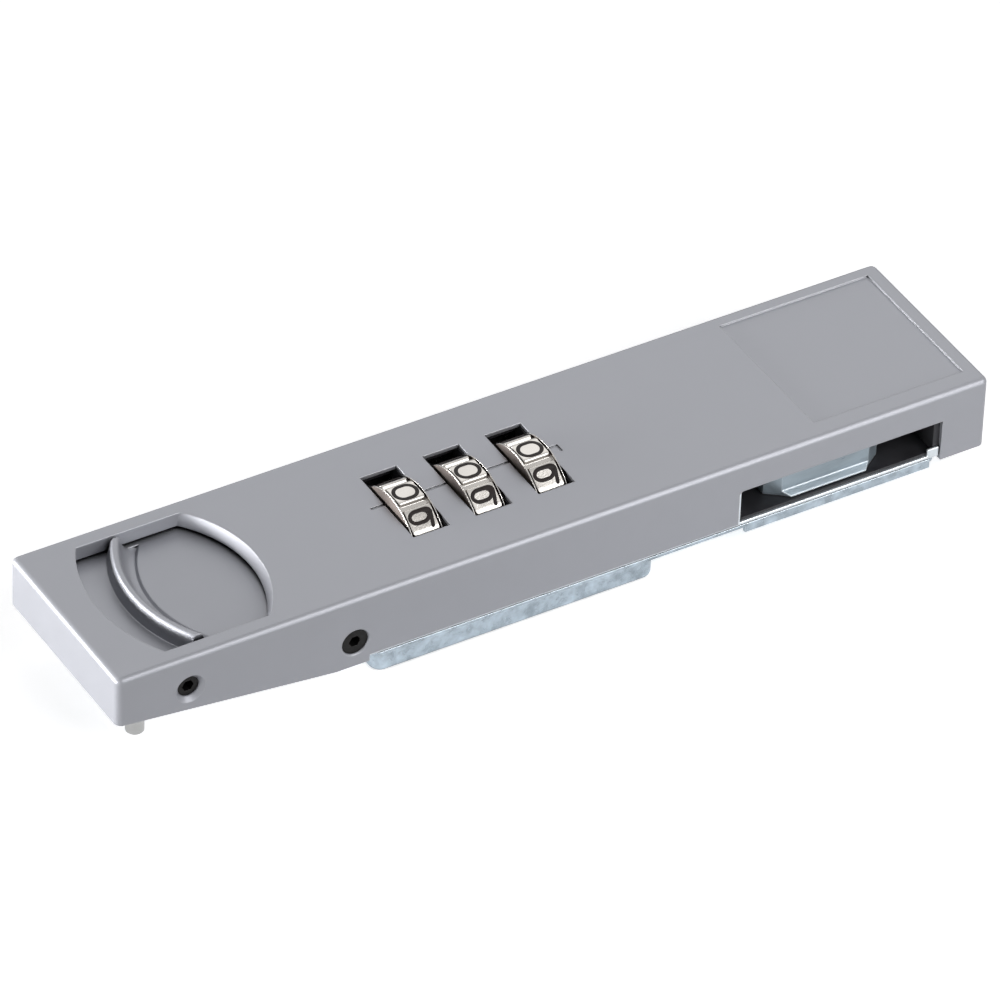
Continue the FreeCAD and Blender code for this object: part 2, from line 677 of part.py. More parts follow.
# Dial cradle: a moulded block with three bays, saddles that carry the sleeves, and a crown under the slots.
cradle = fuse("CradleBlank", [
    box("CradleBlock", "dial_x - cradle_half", "0 - cradle_width / 2", "pan_thick + seat_gap",
        "2 * cradle_half", "cradle_width", "ceiling - pan_thick - 2 * seat_gap"),
    box("CradleCrown", "dial_x - crown_length", "0 - crown_half", "axis",
        "2 * crown_length", "2 * crown_half", "top - slot_lip - seat_gap - axis"),
])
cradle_cuts = []
saddle_length = "2 * cradle_half - 2 * cradle_wall"
cradle_cuts.append(rod("SaddleRound", "x", "dial_x - cradle_half + cradle_wall", "0", "axis",
                       "sleeve_radius + pin_gap", saddle_length))
cradle_cuts.append(box("SaddleMouth", "dial_x - cradle_half + cradle_wall",
                       "0 - sleeve_radius - pin_gap", "axis",
                       saddle_length, "2 * sleeve_radius + 2 * pin_gap", "top"))
cradle_cuts.append(rod("SpindleRound", "x", "dial_x - cradle_half - 1", "0", "axis",
                       "spindle_radius + pin_gap", "2 * cradle_half + 2"))
cradle_cuts.append(box("SpindleMouth", "dial_x - cradle_half - 1", "0 - spindle_radius - pin_gap",
                       "axis", "2 * cradle_half + 2", "2 * spindle_radius + 2 * pin_gap", "top"))
for index, shift in enumerate(("0 - dial_pitch", "0", "dial_pitch"), start=1):
    cradle_cuts.append(box(
        f"DialBay{index}", f"dial_x + {shift} - bay_width / 2", "0 - dial_radius - running_gap", "0",
        "bay_width", "2 * dial_radius + 2 * running_gap", "top",
    ))
cradle_cuts.append(box(
    "SpringSlot", "dial_x - dial_pitch - bay_width / 2 - leaf_end - running_gap", "spring_y",
    "axis - leaf_below - running_gap", "2 * (dial_pitch + leaf_end + running_gap) + bay_width",
    "cradle_slot", "ceiling - seat_gap - axis + leaf_below + running_gap",
))
part("dial_cradle", cut("DialCradle", cradle, cradle_cuts))

# Detent spring: one strip of spring steel with a bowed finger for each wheel.
leaf = [box(
    "LeafStrip", "dial_x - dial_pitch - bay_width / 2 - leaf_end", "leaf_y", "axis - leaf_below",
    "2 * (dial_pitch + leaf_end) + bay_width", "spring_leaf", "ceiling - running_gap - axis + leaf_below",
)]
for index, shift in enumerate(("0 - dial_pitch", "0", "dial_pitch"), start=1):
    leaf.append(rod(
        f"LeafNose{index}", "z", f"dial_x + {shift}", "leaf_y + spring_leaf / 2", "axis - nose_height / 2",
        "cradle_slot - spring_leaf / 2 - seat_gap", "nose_height",
    ))
leaf_solid = common("LeafTrimmed", [
    fuse("LeafFused", leaf),
    box("LeafRoom", "left", "spring_y + seat_gap", "0",
        "body_length", "cradle_slot - 2 * seat_gap", "top"),
])
part("detent_spring", leaf_solid)


def half_step(across, up):
    """A point of a wheel's profile, turned by half the angle from one number to the next."""
    step = "180 / dial_count"
    return (
        f"({across}) * cos({step}) - ({up}) * sin({step})",
        f"({across}) * sin({step}) + ({up}) * cos({step})",
    )


# Number wheels: ten pads with finger grooves between them, keyed to a sleeve inside.
for index, shift in enumerate(("0 - dial_pitch", "0", "dial_pitch"), start=1):
    wheel = doc.addObject("PartDesign::Body", f"Wheel{index}")
    wheel_block = wheel.newObject("PartDesign::AdditivePrism", f"WheelBlock{index}")
    wheel_block.AttachmentSupport = (plane(wheel, "YZ_Plane"), [""])
    wheel_block.MapMode = "FlatFace"
    bind(wheel_block, AttachmentOffset__Base__z="0 - dial_width / 2", Polygon="dial_count",
         Circumradius="dial_radius / cos(180 / dial_count)", Height="dial_width")
    doc.recompute()
    bevel = wheel.newObject("PartDesign::Chamfer", f"WheelBevel{index}")
    bevel.Base = (wheel_block, [
        f"Edge{i + 1}" for i, edge in enumerate(wheel_block.Shape.Edges)
        if abs(edge.Vertexes[0].Point.x - edge.Vertexes[1].Point.x) < 1e-6
    ])
    bind(bevel, Size="dial_bevel")
    doc.recompute()
    bore_sketch = sketch(wheel, f"BoreSketch{index}", "YZ_Plane", "0 - dial_width")
    ring(bore_sketch, "0", "0", "sleeve_radius + pin_gap")
    bore = wheel.newObject("PartDesign::Pocket", f"Bore{index}")
    bore.Profile = bore_sketch
    bore.Reversed = True
    bind(bore, Length="2 * dial_width")
    doc.recompute()
    groove_sketch = sketch(wheel, f"GrooveSketch{index}", "YZ_Plane", "0 - dial_width")
    outline(groove_sketch, [
        half_step("groove_floor / 2 - groove_width", "dial_radius + groove_depth"),
        half_step("0 - groove_floor / 2", "dial_radius - groove_depth"),
        half_step("groove_floor / 2", "dial_radius - groove_depth"),
        half_step("groove_width - groove_floor / 2", "dial_radius + groove_depth"),
    ])
    groove = wheel.newObject("PartDesign::Pocket", f"Groove{index}")
    groove.Profile = groove_sketch
    groove.Reversed = True
    bind(groove, Length="2 * dial_width")
    doc.recompute()
    key_sketch = sketch(wheel, f"KeywaySketch{index}", "YZ_Plane", "0 - dial_width")
    outline(key_sketch, [
        ("0 - key_width / 2 - pin_gap", "sleeve_radius - key_height"),
        ("key_width / 2 + pin_gap", "sleeve_radius - key_height"),
        ("key_width / 2 + pin_gap", "sleeve_radius + key_height + pin_gap"),
        ("0 - key_width / 2 - pin_gap", "sleeve_radius + key_height + pin_gap"),
    ])
    keyway = wheel.newObject("PartDesign::Pocket", f"Keyway{index}")
    keyway.Profile = key_sketch
    keyway.Reversed = True
    bind(keyway, Length="2 * dial_width")
    doc.recompute()
    repeat = wheel.newObject("PartDesign::PolarPattern", f"Numbers{index}")
    repeat.Originals = [groove, keyway]
    repeat.Axis = (plane(wheel, "X_Axis"), [""])
    repeat.Angle = 360
    bind(repeat, Occurrences="dial_count")
    wheel.Tip = repeat
    doc.recompute()
    place(wheel, f"dial_x + {shift}", "0", "axis")
    part(f"number_wheel_{index}", wheel)

    middle = f"dial_x + {shift}"
    tube = rod(f"SleeveTube{index}", "x", f"{middle} - sleeve_length / 2", "0", "axis",
               "sleeve_radius", "sleeve_length")
    key = box(f"SleeveKey{index}", f"{middle} - dial_width / 2", "0 - key_width / 2",
              "axis + sleeve_bore + key_height", "dial_width", "key_width", "sleeve_radius - sleeve_bore")
    bores = []
    for end, start in (("Left", f"{middle} - sleeve_length / 2 - 1"), ("Right", f"{middle} + web_thick / 2")):
        bores.append(rod(f"SleeveBore{end}{index}", "x", start, "0", "axis", "sleeve_bore",
                         "sleeve_length / 2 + 1 - web_thick / 2"))
    bores.append(rod(f"WebBore{index}", "x", f"{middle} - web_thick", "0", "axis",
                     "spindle_radius + pin_gap", "2 * web_thick"))
    bores.append(box(f"Gate{index}", f"{middle} - web_thick", "0 - gate_width / 2", "axis - sleeve_bore",
                     "2 * web_thick", "gate_width", "sleeve_bore"))
    part(f"wheel_sleeve_{index}", cut(f"WheelSleeve{index}", fuse(f"SleeveSolid{index}", [tube, key]), bores))

# Slide spindle: a steel rod with one fin beside each gate and a collar for the spring.
spindle = [rod("SpindleRod", "x", "spindle_x", "0", "axis", "spindle_radius", "spindle_end - spindle_x")]
for index, shift in enumerate(("0 - dial_pitch", "0", "dial_pitch"), start=1):
    spindle.append(box(
        f"Fin{index}", f"dial_x + {shift} + fin_shift", "0 - fin_width / 2", "axis - fin_reach",
        "fin_thick", "fin_width", "fin_reach",
    ))
pin_cuts = [
    rod("LeftPinHole", "y", "lug_pin_x", "0 - 2 * spindle_radius", "axis", "cross_pin_radius",
        "4 * spindle_radius"),
    rod("RightPinHole", "y", "riser_x + riser_length / 2", "0 - 2 * spindle_radius", "axis",
        "cross_pin_radius", "4 * spindle_radius"),
]
part("slide_spindle", cut("SlideSpindle", fuse("SpindleSolid", spindle), pin_cuts))
part("spring_collar", cut(
    "SpringCollar",
    rod("CollarDisc", "x", "collar_x", "0", "axis", "collar_radius", "collar_thick"),
    [rod("CollarHole", "x", "collar_x - 1", "0", "axis", "spindle_radius", "collar_thick + 2")],
))
part("spindle_pin", rod("SpindlePin", "y", "lug_pin_x", "0 - lug_width / 2", "axis",
                        "cross_pin_radius", "lug_width"))
part("bolt_pin", rod("BoltPin", "y", "riser_x + riser_length / 2", "0 - riser_width / 2", "axis",
                     "cross_pin_radius", "riser_width"))

# Return spring: the space of its coil, between the cradle and the collar.
part("return_spring", cut(
    "ReturnSpring",
    rod("CoilOutside", "x", "cradle_end + seat_gap", "0", "axis", "coil_radius + coil_wire / 2",
        "coil_length - 2 * seat_gap"),
    [rod("CoilInside", "x", "cradle_end", "0", "axis", "coil_radius - coil_wire / 2", "coil_length")],
))

# Bolt: the bevelled steel nose behind the notch with its sloping toe, a foot plate and the spindle's riser.
nose = doc.addObject("Part::Wedge", "BoltNose")
bind(
    nose,
    Xmin="bolt_x + bolt_left_bevel",
    Xmax="bolt_x + bolt_length - bolt_right_bevel",
    Zmin="bolt_low",
    Zmax="bolt_top",
    Ymin="near + bolt_inset",
    Ymax="near + bolt_inset + bolt_face_thick",
    X2min="bolt_x",
    X2max="bolt_x + bolt_length",
    Z2min="bolt_low",
    Z2max="bolt_top",
)
toe = doc.addObject("Part::Wedge", "BoltToe")
bind(
    toe,
    Xmin="bolt_x + bolt_left_bevel + bolt_inset - toe_inset",
    Xmax="bolt_x + bolt_length - bolt_right_bevel - bolt_inset + toe_inset",
    Zmin="bolt_low",
    Zmax="bolt_low + toe_edge",
    Ymin="near + toe_inset",
    Ymax="near + bolt_inset",
    X2min="bolt_x + bolt_left_bevel",
    X2max="bolt_x + bolt_length - bolt_right_bevel",
    Z2min="bolt_low",
    Z2max="bolt_low + toe_rise",
)
foot = box("BoltFoot", "bolt_x", "near + bolt_inset + bolt_face_thick", "bolt_low",
           "bolt_length", "bolt_back - near - bolt_inset - bolt_face_thick", "bolt_plate")
riser = box("BoltRiser", "riser_x", "0 - riser_width / 2", "bolt_low",
            "riser_length", "riser_width", "bolt_top - bolt_low")
bolt_cuts = [
    rod("RiserHole", "x", "riser_x - 1", "0", "axis", "spindle_radius + pin_gap",
        "riser_length - riser_wall + 1"),
    rod("RiserPinHole", "y", "riser_x + riser_length / 2", "0 - riser_width", "axis",
        "cross_pin_radius + pin_gap / 2", "2 * riser_width"),
]
part("bolt", cut("Bolt", fuse("BoltSolid", [nose, toe, foot, riser]), bolt_cuts))

# Bolt guide: a black moulded channel that the bolt runs in, with an apron and a lining in the notch.
guide = fuse("GuideBlank", [
    box("GuideBlock", "guide_x", "near + guide_inset", "guide_low",
        "notch_length - guide_back - seat_gap", "body_width - guide_inset - side_wall - seat_gap",
        "ceiling - guide_low - seat_gap"),
    box("GuideApron", "guide_x", "near + apron_inset", "guide_low",
        "notch_length - guide_back - seat_gap", "guide_inset - apron_inset", "guide_floor"),
])
guide_cuts = [
    box("GuideChannel", "guide_x - 1", "near", "guide_low + guide_floor",
        "body_length", "bolt_back - near + running_gap",
        "bolt_top + running_gap - guide_low - guide_floor"),
]
lining = box(
    "GuideLining", "right - end_block - seat_gap - lining_thick", "near + apron_inset", "guide_low",
    "lining_thick", "bolt_back - near - apron_inset + running_gap", "top - notch_top - seat_gap - guide_low",
)
part("bolt_guide", fuse("BoltGuide", [cut("GuideBody", guide, guide_cuts), lining]))

# Base plate: thin zinc-plated sheet under the long walls, with two upturned tabs.
base = doc.addObject("PartDesign::Body", "BasePlate")
base_drawing = sketch(base, "BaseOutline", "XY_Plane", "plate_top - base_thick")
outline(base_drawing, [
    ("left + plate_start + plate_room", "near + plate_inset"),
    ("right - plate_end", "near + plate_inset"),
    ("right - plate_end", "far - plate_inset"),
    ("left + plate_start + plate_room", "far - plate_inset"),
])
outline(base_drawing, [
    ("dial_x - cradle_half - running_gap", "0 - cradle_width / 2 - running_gap"),
    ("dial_x + cradle_half + running_gap", "0 - cradle_width / 2 - running_gap"),
    ("dial_x + cradle_half + running_gap", "cradle_width / 2 + running_gap"),
    ("dial_x - cradle_half - running_gap", "cradle_width / 2 + running_gap"),
])
for y in ("near + base_screw_inset", "far - base_screw_inset"):
    ring(base_drawing, "boss_x + boss_length / 2", y, "base_screw_radius + pin_gap")
for sign in ("0 - ", ""):
    ring(base_drawing, "right - rivet_place", sign + "rivet_offset", "rivet_radius")
pad(base, base_drawing, "BasePad", "base_thick")
tabs = [
    box("LeftTab", "notch_x + 2 * seat_gap", "near + plate_inset", "plate_top - base_thick",
        "tab_thick", "left_tab_width", "left_tab_rise + base_thick"),
    box("RightTab", "right - plate_end - right_tab_length", "near + plate_inset", "plate_top - base_thick",
        "right_tab_length", "tab_thick", "right_tab_rise + base_thick"),
]
part("base_plate", fuse("BasePlateWithTabs", [base] + tabs))

# Pan plate: heavier pressed sheet below it, drawn down into a pan round the dials.
pan = doc.addObject("PartDesign::Body", "PanBlank")
pan_drawing = sketch(pan, "PanOutline", "XY_Plane", "0")
outline(pan_drawing, [
    ("left + pan_start", "0 - pan_width / 2"),
    ("left + pan_start + pan_length", "0 - pan_width / 2"),
    ("left + pan_start + pan_length", "pan_width / 2"),
    ("left + pan_start", "pan_width / 2"),
])
pan_pad = pad(pan, pan_drawing, "PanPad", "lower_top")
pan_pad = rounded(pan, pan_pad, "PanCorners", "pan_corner", upright)
rounded(pan, pan_pad, "PanFloorEdge", "pan_edge",
        lambda edge: all(abs(v.Point.z) < 1e-6 for v in edge.Vertexes))
room = doc.addObject("PartDesign::Body", "PanRoom")
room_drawing = sketch(room, "RoomOutline", "XY_Plane", "pan_thick")
outline(room_drawing, [
    ("left + pan_start + pan_thick", "pan_thick - pan_width / 2"),
    ("left + pan_start + pan_length - pan_thick", "pan_thick - pan_width / 2"),
    ("left + pan_start + pan_length - pan_thick", "pan_width / 2 - pan_thick"),
    ("left + pan_start + pan_thick", "pan_width / 2 - pan_thick"),
])
room_pad = pad(room, room_drawing, "RoomPad", "top")
rounded(room, room_pad, "RoomCorners", "pan_corner - pan_thick", upright)
flange = doc.addObject("PartDesign::Body", "PanFlange")
flange_drawing = sketch(flange, "FlangeOutline", "XY_Plane", "lower_top - pan_thick")
outline(flange_drawing, [
    ("left + plate_start + plate_room", "near + plate_inset"),
    ("right - plate_end", "near + plate_inset"),
    ("right - plate_end", "far - plate_inset"),
    ("left + plate_start + plate_room", "far - plate_inset"),
])
flange_pad = pad(flange, flange_drawing, "FlangePad", "pan_thick")
rounded(flange, flange_pad, "FlangeCorners", "pan_corner", upright)
lip = box("TurnedLip", "notch_x + lip_inset", "near + plate_inset", "lower_top - pan_thick - lip_drop",
          "right - plate_end - notch_x - 2 * lip_inset", "pan_thick", "lip_drop + pan_thick / 2")
pan_cuts = [room]
for name, y in (("Near", "near + base_screw_inset"), ("Far", "far - base_screw_inset")):
    x = "boss_x + boss_length / 2"
    pan_cuts.append(rod(name + "PanHole", "z", x, y, "0", "base_screw_radius + pin_gap", "top"))
    pan_cuts.append(cone(name + "PanSink", "z", x, y, "lower_top - pan_thick - 0.01",
                         "base_screw_radius + pan_thick + 2 * seat_gap", "base_screw_radius + pin_gap",
                         "pan_thick"))
for name, sign in (("Near", "0 - "), ("Far", "")):
    pan_cuts.append(rod(name + "RivetHole", "z", "right - rivet_place", sign + "rivet_offset", "0",
                        "rivet_radius", "top"))
part("pan_plate", cut("PanPlate", fuse("PanSolid", [pan, flange, lip]), pan_cuts))

# Base screws and plate rivets hold the two plates up to the body.
screws = []
for name, y in (("Near", "near + base_screw_inset"), ("Far", "far - base_screw_inset")):
    x = "boss_x + boss_length / 2"
    floor = "lower_top - pan_thick"
    head = cone(name + "BaseHead", "z", x, y, floor, "base_screw_radius + pan_thick",
                "base_screw_radius - pin_gap", "pan_thick + pin_gap")
    shank = rod(name + "BaseShank", "z", x, y, floor, "base_screw_radius - pin_gap / 2",
                "base_screw_length + pan_drop - running_gap - lower_top + pan_thick")
    slot = box(name + "BaseDrive", f"{x} - drive_length / 2", f"{y} - drive_width / 2", "0",
               "drive_length", "drive_width", "lower_top - pan_thick / 2")
    screws.append(cut(name + "BaseScrew", fuse(name + "BaseSolid", [head, shank]), [slot]))
group = doc.addObject("Part::Compound", "BaseScrews")
group.Links = screws
part("base_screws", group)
rivets = []
for name, sign in (("Near", "0 - "), ("Far", "")):
    x = "right - rivet_place"
    y = sign + "rivet_offset"
    floor = "lower_top - pan_thick"
    head = rod(name + "RivetHead", "z", x, y, floor + " - rivet_height", "rivet_head", "rivet_height")
    shank = rod(name + "RivetShank", "z", x, y, floor + " - rivet_height", "rivet_radius",
                "rivet_height + pan_thick + plate_gap + base_thick")
    rivets.append(fuse(name + "Rivet", [head, shank]))
group = doc.addObject("Part::Compound", "PlateRivets")
group.Links = rivets
part("plate_rivets", group)

doc.recompute()
faults = [f"{thing.Label}: {thing.State}" for thing in doc.Objects
          if "Invalid" in thing.State or "Error" in thing.State]
for thing in parts:
    shape = thing.Shape
    if shape.isNull() or not shape.isValid() or not shape.Solids:
        faults.append(f"{thing.Label}: bad shape")
if faults:
    sys.exit("\n".join(faults))

os.makedirs("parts", exist_ok=True)
for thing in parts:
    thing.Shape.exportStep(os.path.join("parts", thing.Label + ".step"))
    limits = thing.Shape.BoundBox
    print(f"{thing.Label:20s} solids {len(thing.Shape.Solids)}  volume {thing.Shape.Volume:9.2f}"
          f"  x {limits.XMin:7.2f} {limits.XMax:7.2f}  y {limits.YMin:7.2f} {limits.YMax:7.2f}"
          f"  z {limits.ZMin:6.2f} {limits.ZMax:6.2f}")
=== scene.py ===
"""Three-dial combination lock, lying on a pale floor under soft studio light."""
import math

import bpy
import numpy as np
from mathutils import Matrix, Vector


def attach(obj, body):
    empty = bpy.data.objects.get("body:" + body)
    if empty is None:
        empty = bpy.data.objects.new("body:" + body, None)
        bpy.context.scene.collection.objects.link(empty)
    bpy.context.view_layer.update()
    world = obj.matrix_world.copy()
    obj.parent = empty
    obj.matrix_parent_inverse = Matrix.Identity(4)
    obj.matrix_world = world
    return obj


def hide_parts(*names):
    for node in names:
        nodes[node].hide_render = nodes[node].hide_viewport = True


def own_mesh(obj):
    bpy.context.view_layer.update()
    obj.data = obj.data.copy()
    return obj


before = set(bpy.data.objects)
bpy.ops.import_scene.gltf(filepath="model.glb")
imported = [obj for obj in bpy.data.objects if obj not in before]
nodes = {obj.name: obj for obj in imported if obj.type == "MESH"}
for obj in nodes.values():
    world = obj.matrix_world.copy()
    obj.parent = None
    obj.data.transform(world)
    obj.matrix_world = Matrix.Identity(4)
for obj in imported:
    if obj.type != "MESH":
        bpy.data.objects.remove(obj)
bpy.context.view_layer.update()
scene = bpy.context.scene

# Body: the long zinc casting that everything else is built into. It is die-cast,
# rumbled smooth and sprayed with a satin silver lacquer. Its edges are painted lighter,
# partly as wear and partly as painted highlight, and its narrow gaps near-black as
# painted shade.
CASTING_COLOUR = (0.365, 0.372, 0.405)
CASTING_EDGE_WEAR_AND_HIGHLIGHT = (0.66, 0.67, 0.70)
CASTING_GAP_SHADE_COLOUR = (0.010, 0.010, 0.012)


def new_group(name, inputs, outputs):
    """An empty shader group with float or colour sockets, and its two end nodes."""
    group = bpy.data.node_groups.new(name, "ShaderNodeTree")
    for label, kind, value in inputs:
        socket = group.interface.new_socket(label, in_out="INPUT", socket_type=kind)
        socket.default_value = value
    for label, kind in outputs:
        group.interface.new_socket(label, in_out="OUTPUT", socket_type=kind)
    return group, group.nodes.new("NodeGroupInput"), group.nodes.new("NodeGroupOutput")


def node(tree, kind, **settings):
    """A shader node with its properties and plain socket values set by name. In a socket's
    name an underscore stands for a space."""
    made = tree.nodes.new(kind)
    for key, value in settings.items():
        if hasattr(made, key):
            setattr(made, key, value)
        else:
            made.inputs[key.replace("_", " ")].default_value = value
    return made


def edge_group():
    """Edge mask: how far the rounded normal turns from the face's own, as the cosine between
    them, broken up by noise. Where it is high the materials turn to a lighter edge colour,
    partly wear and partly a painted highlight. The rounded normal comes out too, so that an
    edge catches the light as a small round does."""
    group, start, end = new_group(
        "edge_wear_and_highlight",
        [("Reach", "NodeSocketFloat", 0.0003), ("Breakup Scale", "NodeSocketFloat", 900.0),
         ("Breakup", "NodeSocketFloat", 0.4)],
        [("Mask", "NodeSocketFloat"), ("Normal", "NodeSocketVector")],
    )
    link = group.links.new
    round_off = node(group, "ShaderNodeBevel", samples=6)
    link(start.outputs["Reach"], round_off.inputs["Radius"])
    flat = node(group, "ShaderNodeNewGeometry")
    dot = node(group, "ShaderNodeVectorMath", operation="DOT_PRODUCT")
    link(round_off.outputs["Normal"], dot.inputs[0])
    link(flat.outputs["Normal"], dot.inputs[1])
    barely, fully = 0.985, 0.80
    turn = node(group, "ShaderNodeMapRange", From_Min=barely, From_Max=fully)
    link(dot.outputs["Value"], turn.inputs["Value"])
    place = node(group, "ShaderNodeTexCoord")
    speckle = node(group, "ShaderNodeTexNoise", Detail=3.0)
    link(place.outputs["Object"], speckle.inputs["Vector"])
    link(start.outputs["Breakup Scale"], speckle.inputs["Scale"])
    keep = node(group, "ShaderNodeMath", operation="MULTIPLY")
    link(speckle.outputs["Fac"], keep.inputs[0])
    link(start.outputs["Breakup"], keep.inputs[1])
    less = node(group, "ShaderNodeMath", operation="SUBTRACT", use_clamp=True)
    link(turn.outputs["Result"], less.inputs[0])
    link(keep.outputs["Value"], less.inputs[1])
    link(less.outputs["Value"], end.inputs["Mask"])
    link(round_off.outputs["Normal"], end.inputs["Normal"])
    return group


def grain_group():
    """Fine noise as a height, and broad noise, at a small part of its scale, as patches."""
    group, start, end = new_group(
        "surface_grain",
        [("Scale", "NodeSocketFloat", 3000.0), ("Stretch", "NodeSocketVector", (1.0, 1.0, 1.0))],
        [("Height", "NodeSocketFloat"), ("Patch", "NodeSocketFloat")],
    )
    link = group.links.new
    place = node(group, "ShaderNodeTexCoord")
    pulled = node(group, "ShaderNodeVectorMath", operation="MULTIPLY")
    link(place.outputs["Object"], pulled.inputs[0])
    link(start.outputs["Stretch"], pulled.inputs[1])
    fine = node(group, "ShaderNodeTexNoise", Detail=4.0, Roughness=0.6)
    link(pulled.outputs["Vector"], fine.inputs["Vector"])
    link(start.outputs["Scale"], fine.inputs["Scale"])
    patch_scale = 0.06
    broad_scale = node(group, "ShaderNodeMath", operation="MULTIPLY")
    broad_scale.inputs[1].default_value = patch_scale
    link(start.outputs["Scale"], broad_scale.inputs[0])
    broad = node(group, "ShaderNodeTexNoise", Detail=5.0, Roughness=0.55)
    link(pulled.outputs["Vector"], broad.inputs["Vector"])
    link(broad_scale.outputs["Value"], broad.inputs["Scale"])
    link(fine.outputs["Fac"], end.inputs["Height"])
    link(broad.outputs["Fac"], end.inputs["Patch"])
    return group


def gap_group():
    """Mask for painted shade in gaps: how much of the sky over a point is hidden by walls closer
    than the reach.
    """
    group, start, end = new_group(
        "gap_shade",
        [("Reach", "NodeSocketFloat", 0.001), ("Open", "NodeSocketFloat", 0.62),
         ("Shut", "NodeSocketFloat", 0.08), ("Fill", "NodeSocketFloat", 0.8)],
        [("Mask", "NodeSocketFloat")],
    )
    link = group.links.new
    hidden = node(group, "ShaderNodeAmbientOcclusion", samples=8)
    link(start.outputs["Reach"], hidden.inputs["Distance"])
    ramp = node(group, "ShaderNodeMapRange", interpolation_type="SMOOTHSTEP")
    link(start.outputs["Open"], ramp.inputs["From Min"])
    link(start.outputs["Shut"], ramp.inputs["From Max"])
    link(hidden.outputs["AO"], ramp.inputs["Value"])
    link(start.outputs["Fill"], ramp.inputs["To Max"])
    link(ramp.outputs["Result"], end.inputs["Mask"])
    return group


EDGE_WEAR_AND_HIGHLIGHT = edge_group()
SURFACE_GRAIN = grain_group()
GAP_SHADE = gap_group()
NOISE_LOW = 0.3
NOISE_HIGH = 0.7


def finish(name, colour, metallic, roughness, edge_wear_highlight_colour, edge_reach, edge_break,
           grain_scale, grain_depth, grain_stretch=(1.0, 1.0, 1.0), patch=0.1,
           roughness_spread=0.08, gap_shade_colour=None, gap_reach=0.001, gap_fill=0.8, gap_open=0.62,
           gap_shut=0.08, specular=0.5):
    """A metal or lacquer: its colour drifts in broad patches, turns to the edge colour on
    corners, partly wear and partly painted highlight, and to the gap colour in narrow gaps,
    which is painted shade; its roughness follows the same patches, and the grain stands up
    as a bump."""
    material = bpy.data.materials.new(name)
    material.use_nodes = True
    tree = material.node_tree
    link = tree.links.new
    shader = tree.nodes["Principled BSDF"]
    shader.inputs["Metallic"].default_value = metallic
    shader.inputs["Specular IOR Level"].default_value = specular
    grain = node(tree, "ShaderNodeGroup", node_tree=SURFACE_GRAIN,
                 Scale=grain_scale, Stretch=grain_stretch)
    edge = node(tree, "ShaderNodeGroup", node_tree=EDGE_WEAR_AND_HIGHLIGHT, Reach=edge_reach, Breakup=edge_break)
    drift = node(tree, "ShaderNodeMapRange", From_Min=NOISE_LOW, From_Max=NOISE_HIGH,
                 To_Min=1 - patch, To_Max=1 + patch)
    link(grain.outputs["Patch"], drift.inputs["Value"])
    tint = node(tree, "ShaderNodeVectorMath", operation="SCALE")
    tint.inputs[0].default_value = colour
    link(drift.outputs["Result"], tint.inputs["Scale"])
    # Edges turn to the edge colour: partly wear, partly a painted highlight.
    lit_and_shaded_colour = node(tree, "ShaderNodeMix", data_type="RGBA")
    link(edge.outputs["Mask"], lit_and_shaded_colour.inputs["Factor"])
    link(tint.outputs["Vector"], lit_and_shaded_colour.inputs["A"])
    lit_and_shaded_colour.inputs["B"].default_value = (*edge_wear_highlight_colour, 1.0)
    # Narrow gaps and hollows turn to the gap colour: painted shade.
    if gap_shade_colour:
        gap = node(tree, "ShaderNodeGroup", node_tree=GAP_SHADE,
                   Reach=gap_reach, Open=gap_open, Shut=gap_shut, Fill=gap_fill)
        gap_shaded = node(tree, "ShaderNodeMix", data_type="RGBA")
        link(gap.outputs["Mask"], gap_shaded.inputs["Factor"])
        link(lit_and_shaded_colour.outputs["Result"], gap_shaded.inputs["A"])
        gap_shaded.inputs["B"].default_value = (*gap_shade_colour, 1.0)
        lit_and_shaded_colour = gap_shaded
    link(lit_and_shaded_colour.outputs["Result"], shader.inputs["Base Color"])
    gloss = node(tree, "ShaderNodeMapRange", From_Min=NOISE_LOW, From_Max=NOISE_HIGH,
                 To_Min=roughness - roughness_spread, To_Max=roughness + roughness_spread)
    link(grain.outputs["Patch"], gloss.inputs["Value"])
    link(gloss.outputs["Result"], shader.inputs["Roughness"])
    bump = node(tree, "ShaderNodeBump", Strength=1.0, Distance=grain_depth)
    link(grain.outputs["Height"], bump.inputs["Height"])
    link(edge.outputs["Normal"], bump.inputs["Normal"])
    link(bump.outputs["Normal"], shader.inputs["Normal"])
    return material


FACET_GAP = 1e-6
SHARP_ANGLE = 35.0


def dress(material, *names, edge=0.0):
    """Gives CAD nodes a material, and rounds their sharp edges by the edge width."""
    for name in names:
        piece = nodes[name]
        piece.data.materials.clear()
        piece.data.materials.append(material)
        if edge:
            weld = piece.modifiers.new("join_facets", "WELD")
            weld.merge_threshold = FACET_GAP
            bevel = piece.modifiers.new("edge_round", "BEVEL")
            bevel.width = edge
            bevel.segments = 2
            bevel.limit_method = "ANGLE"
            bevel.angle_limit = math.radians(SHARP_ANGLE)
            even = piece.modifiers.new("even_normals", "WEIGHTED_NORMAL")
            even.weight = 100
            even.keep_sharp = True


casting = finish(
    "satin_silver_lacquer", CASTING_COLOUR, 0.45, 0.42, CASTING_EDGE_WEAR_AND_HIGHLIGHT, 0.00028, 0.30,
    grain_scale=5200.0, grain_depth=0.000004, patch=0.010, roughness_spread=0.02,
    gap_shade_colour=CASTING_GAP_SHADE_COLOUR, gap_reach=0.0015, gap_fill=0.98, gap_open=0.49, gap_shut=0.38,
)
dress(casting, "body_shell", edge=0.00012)

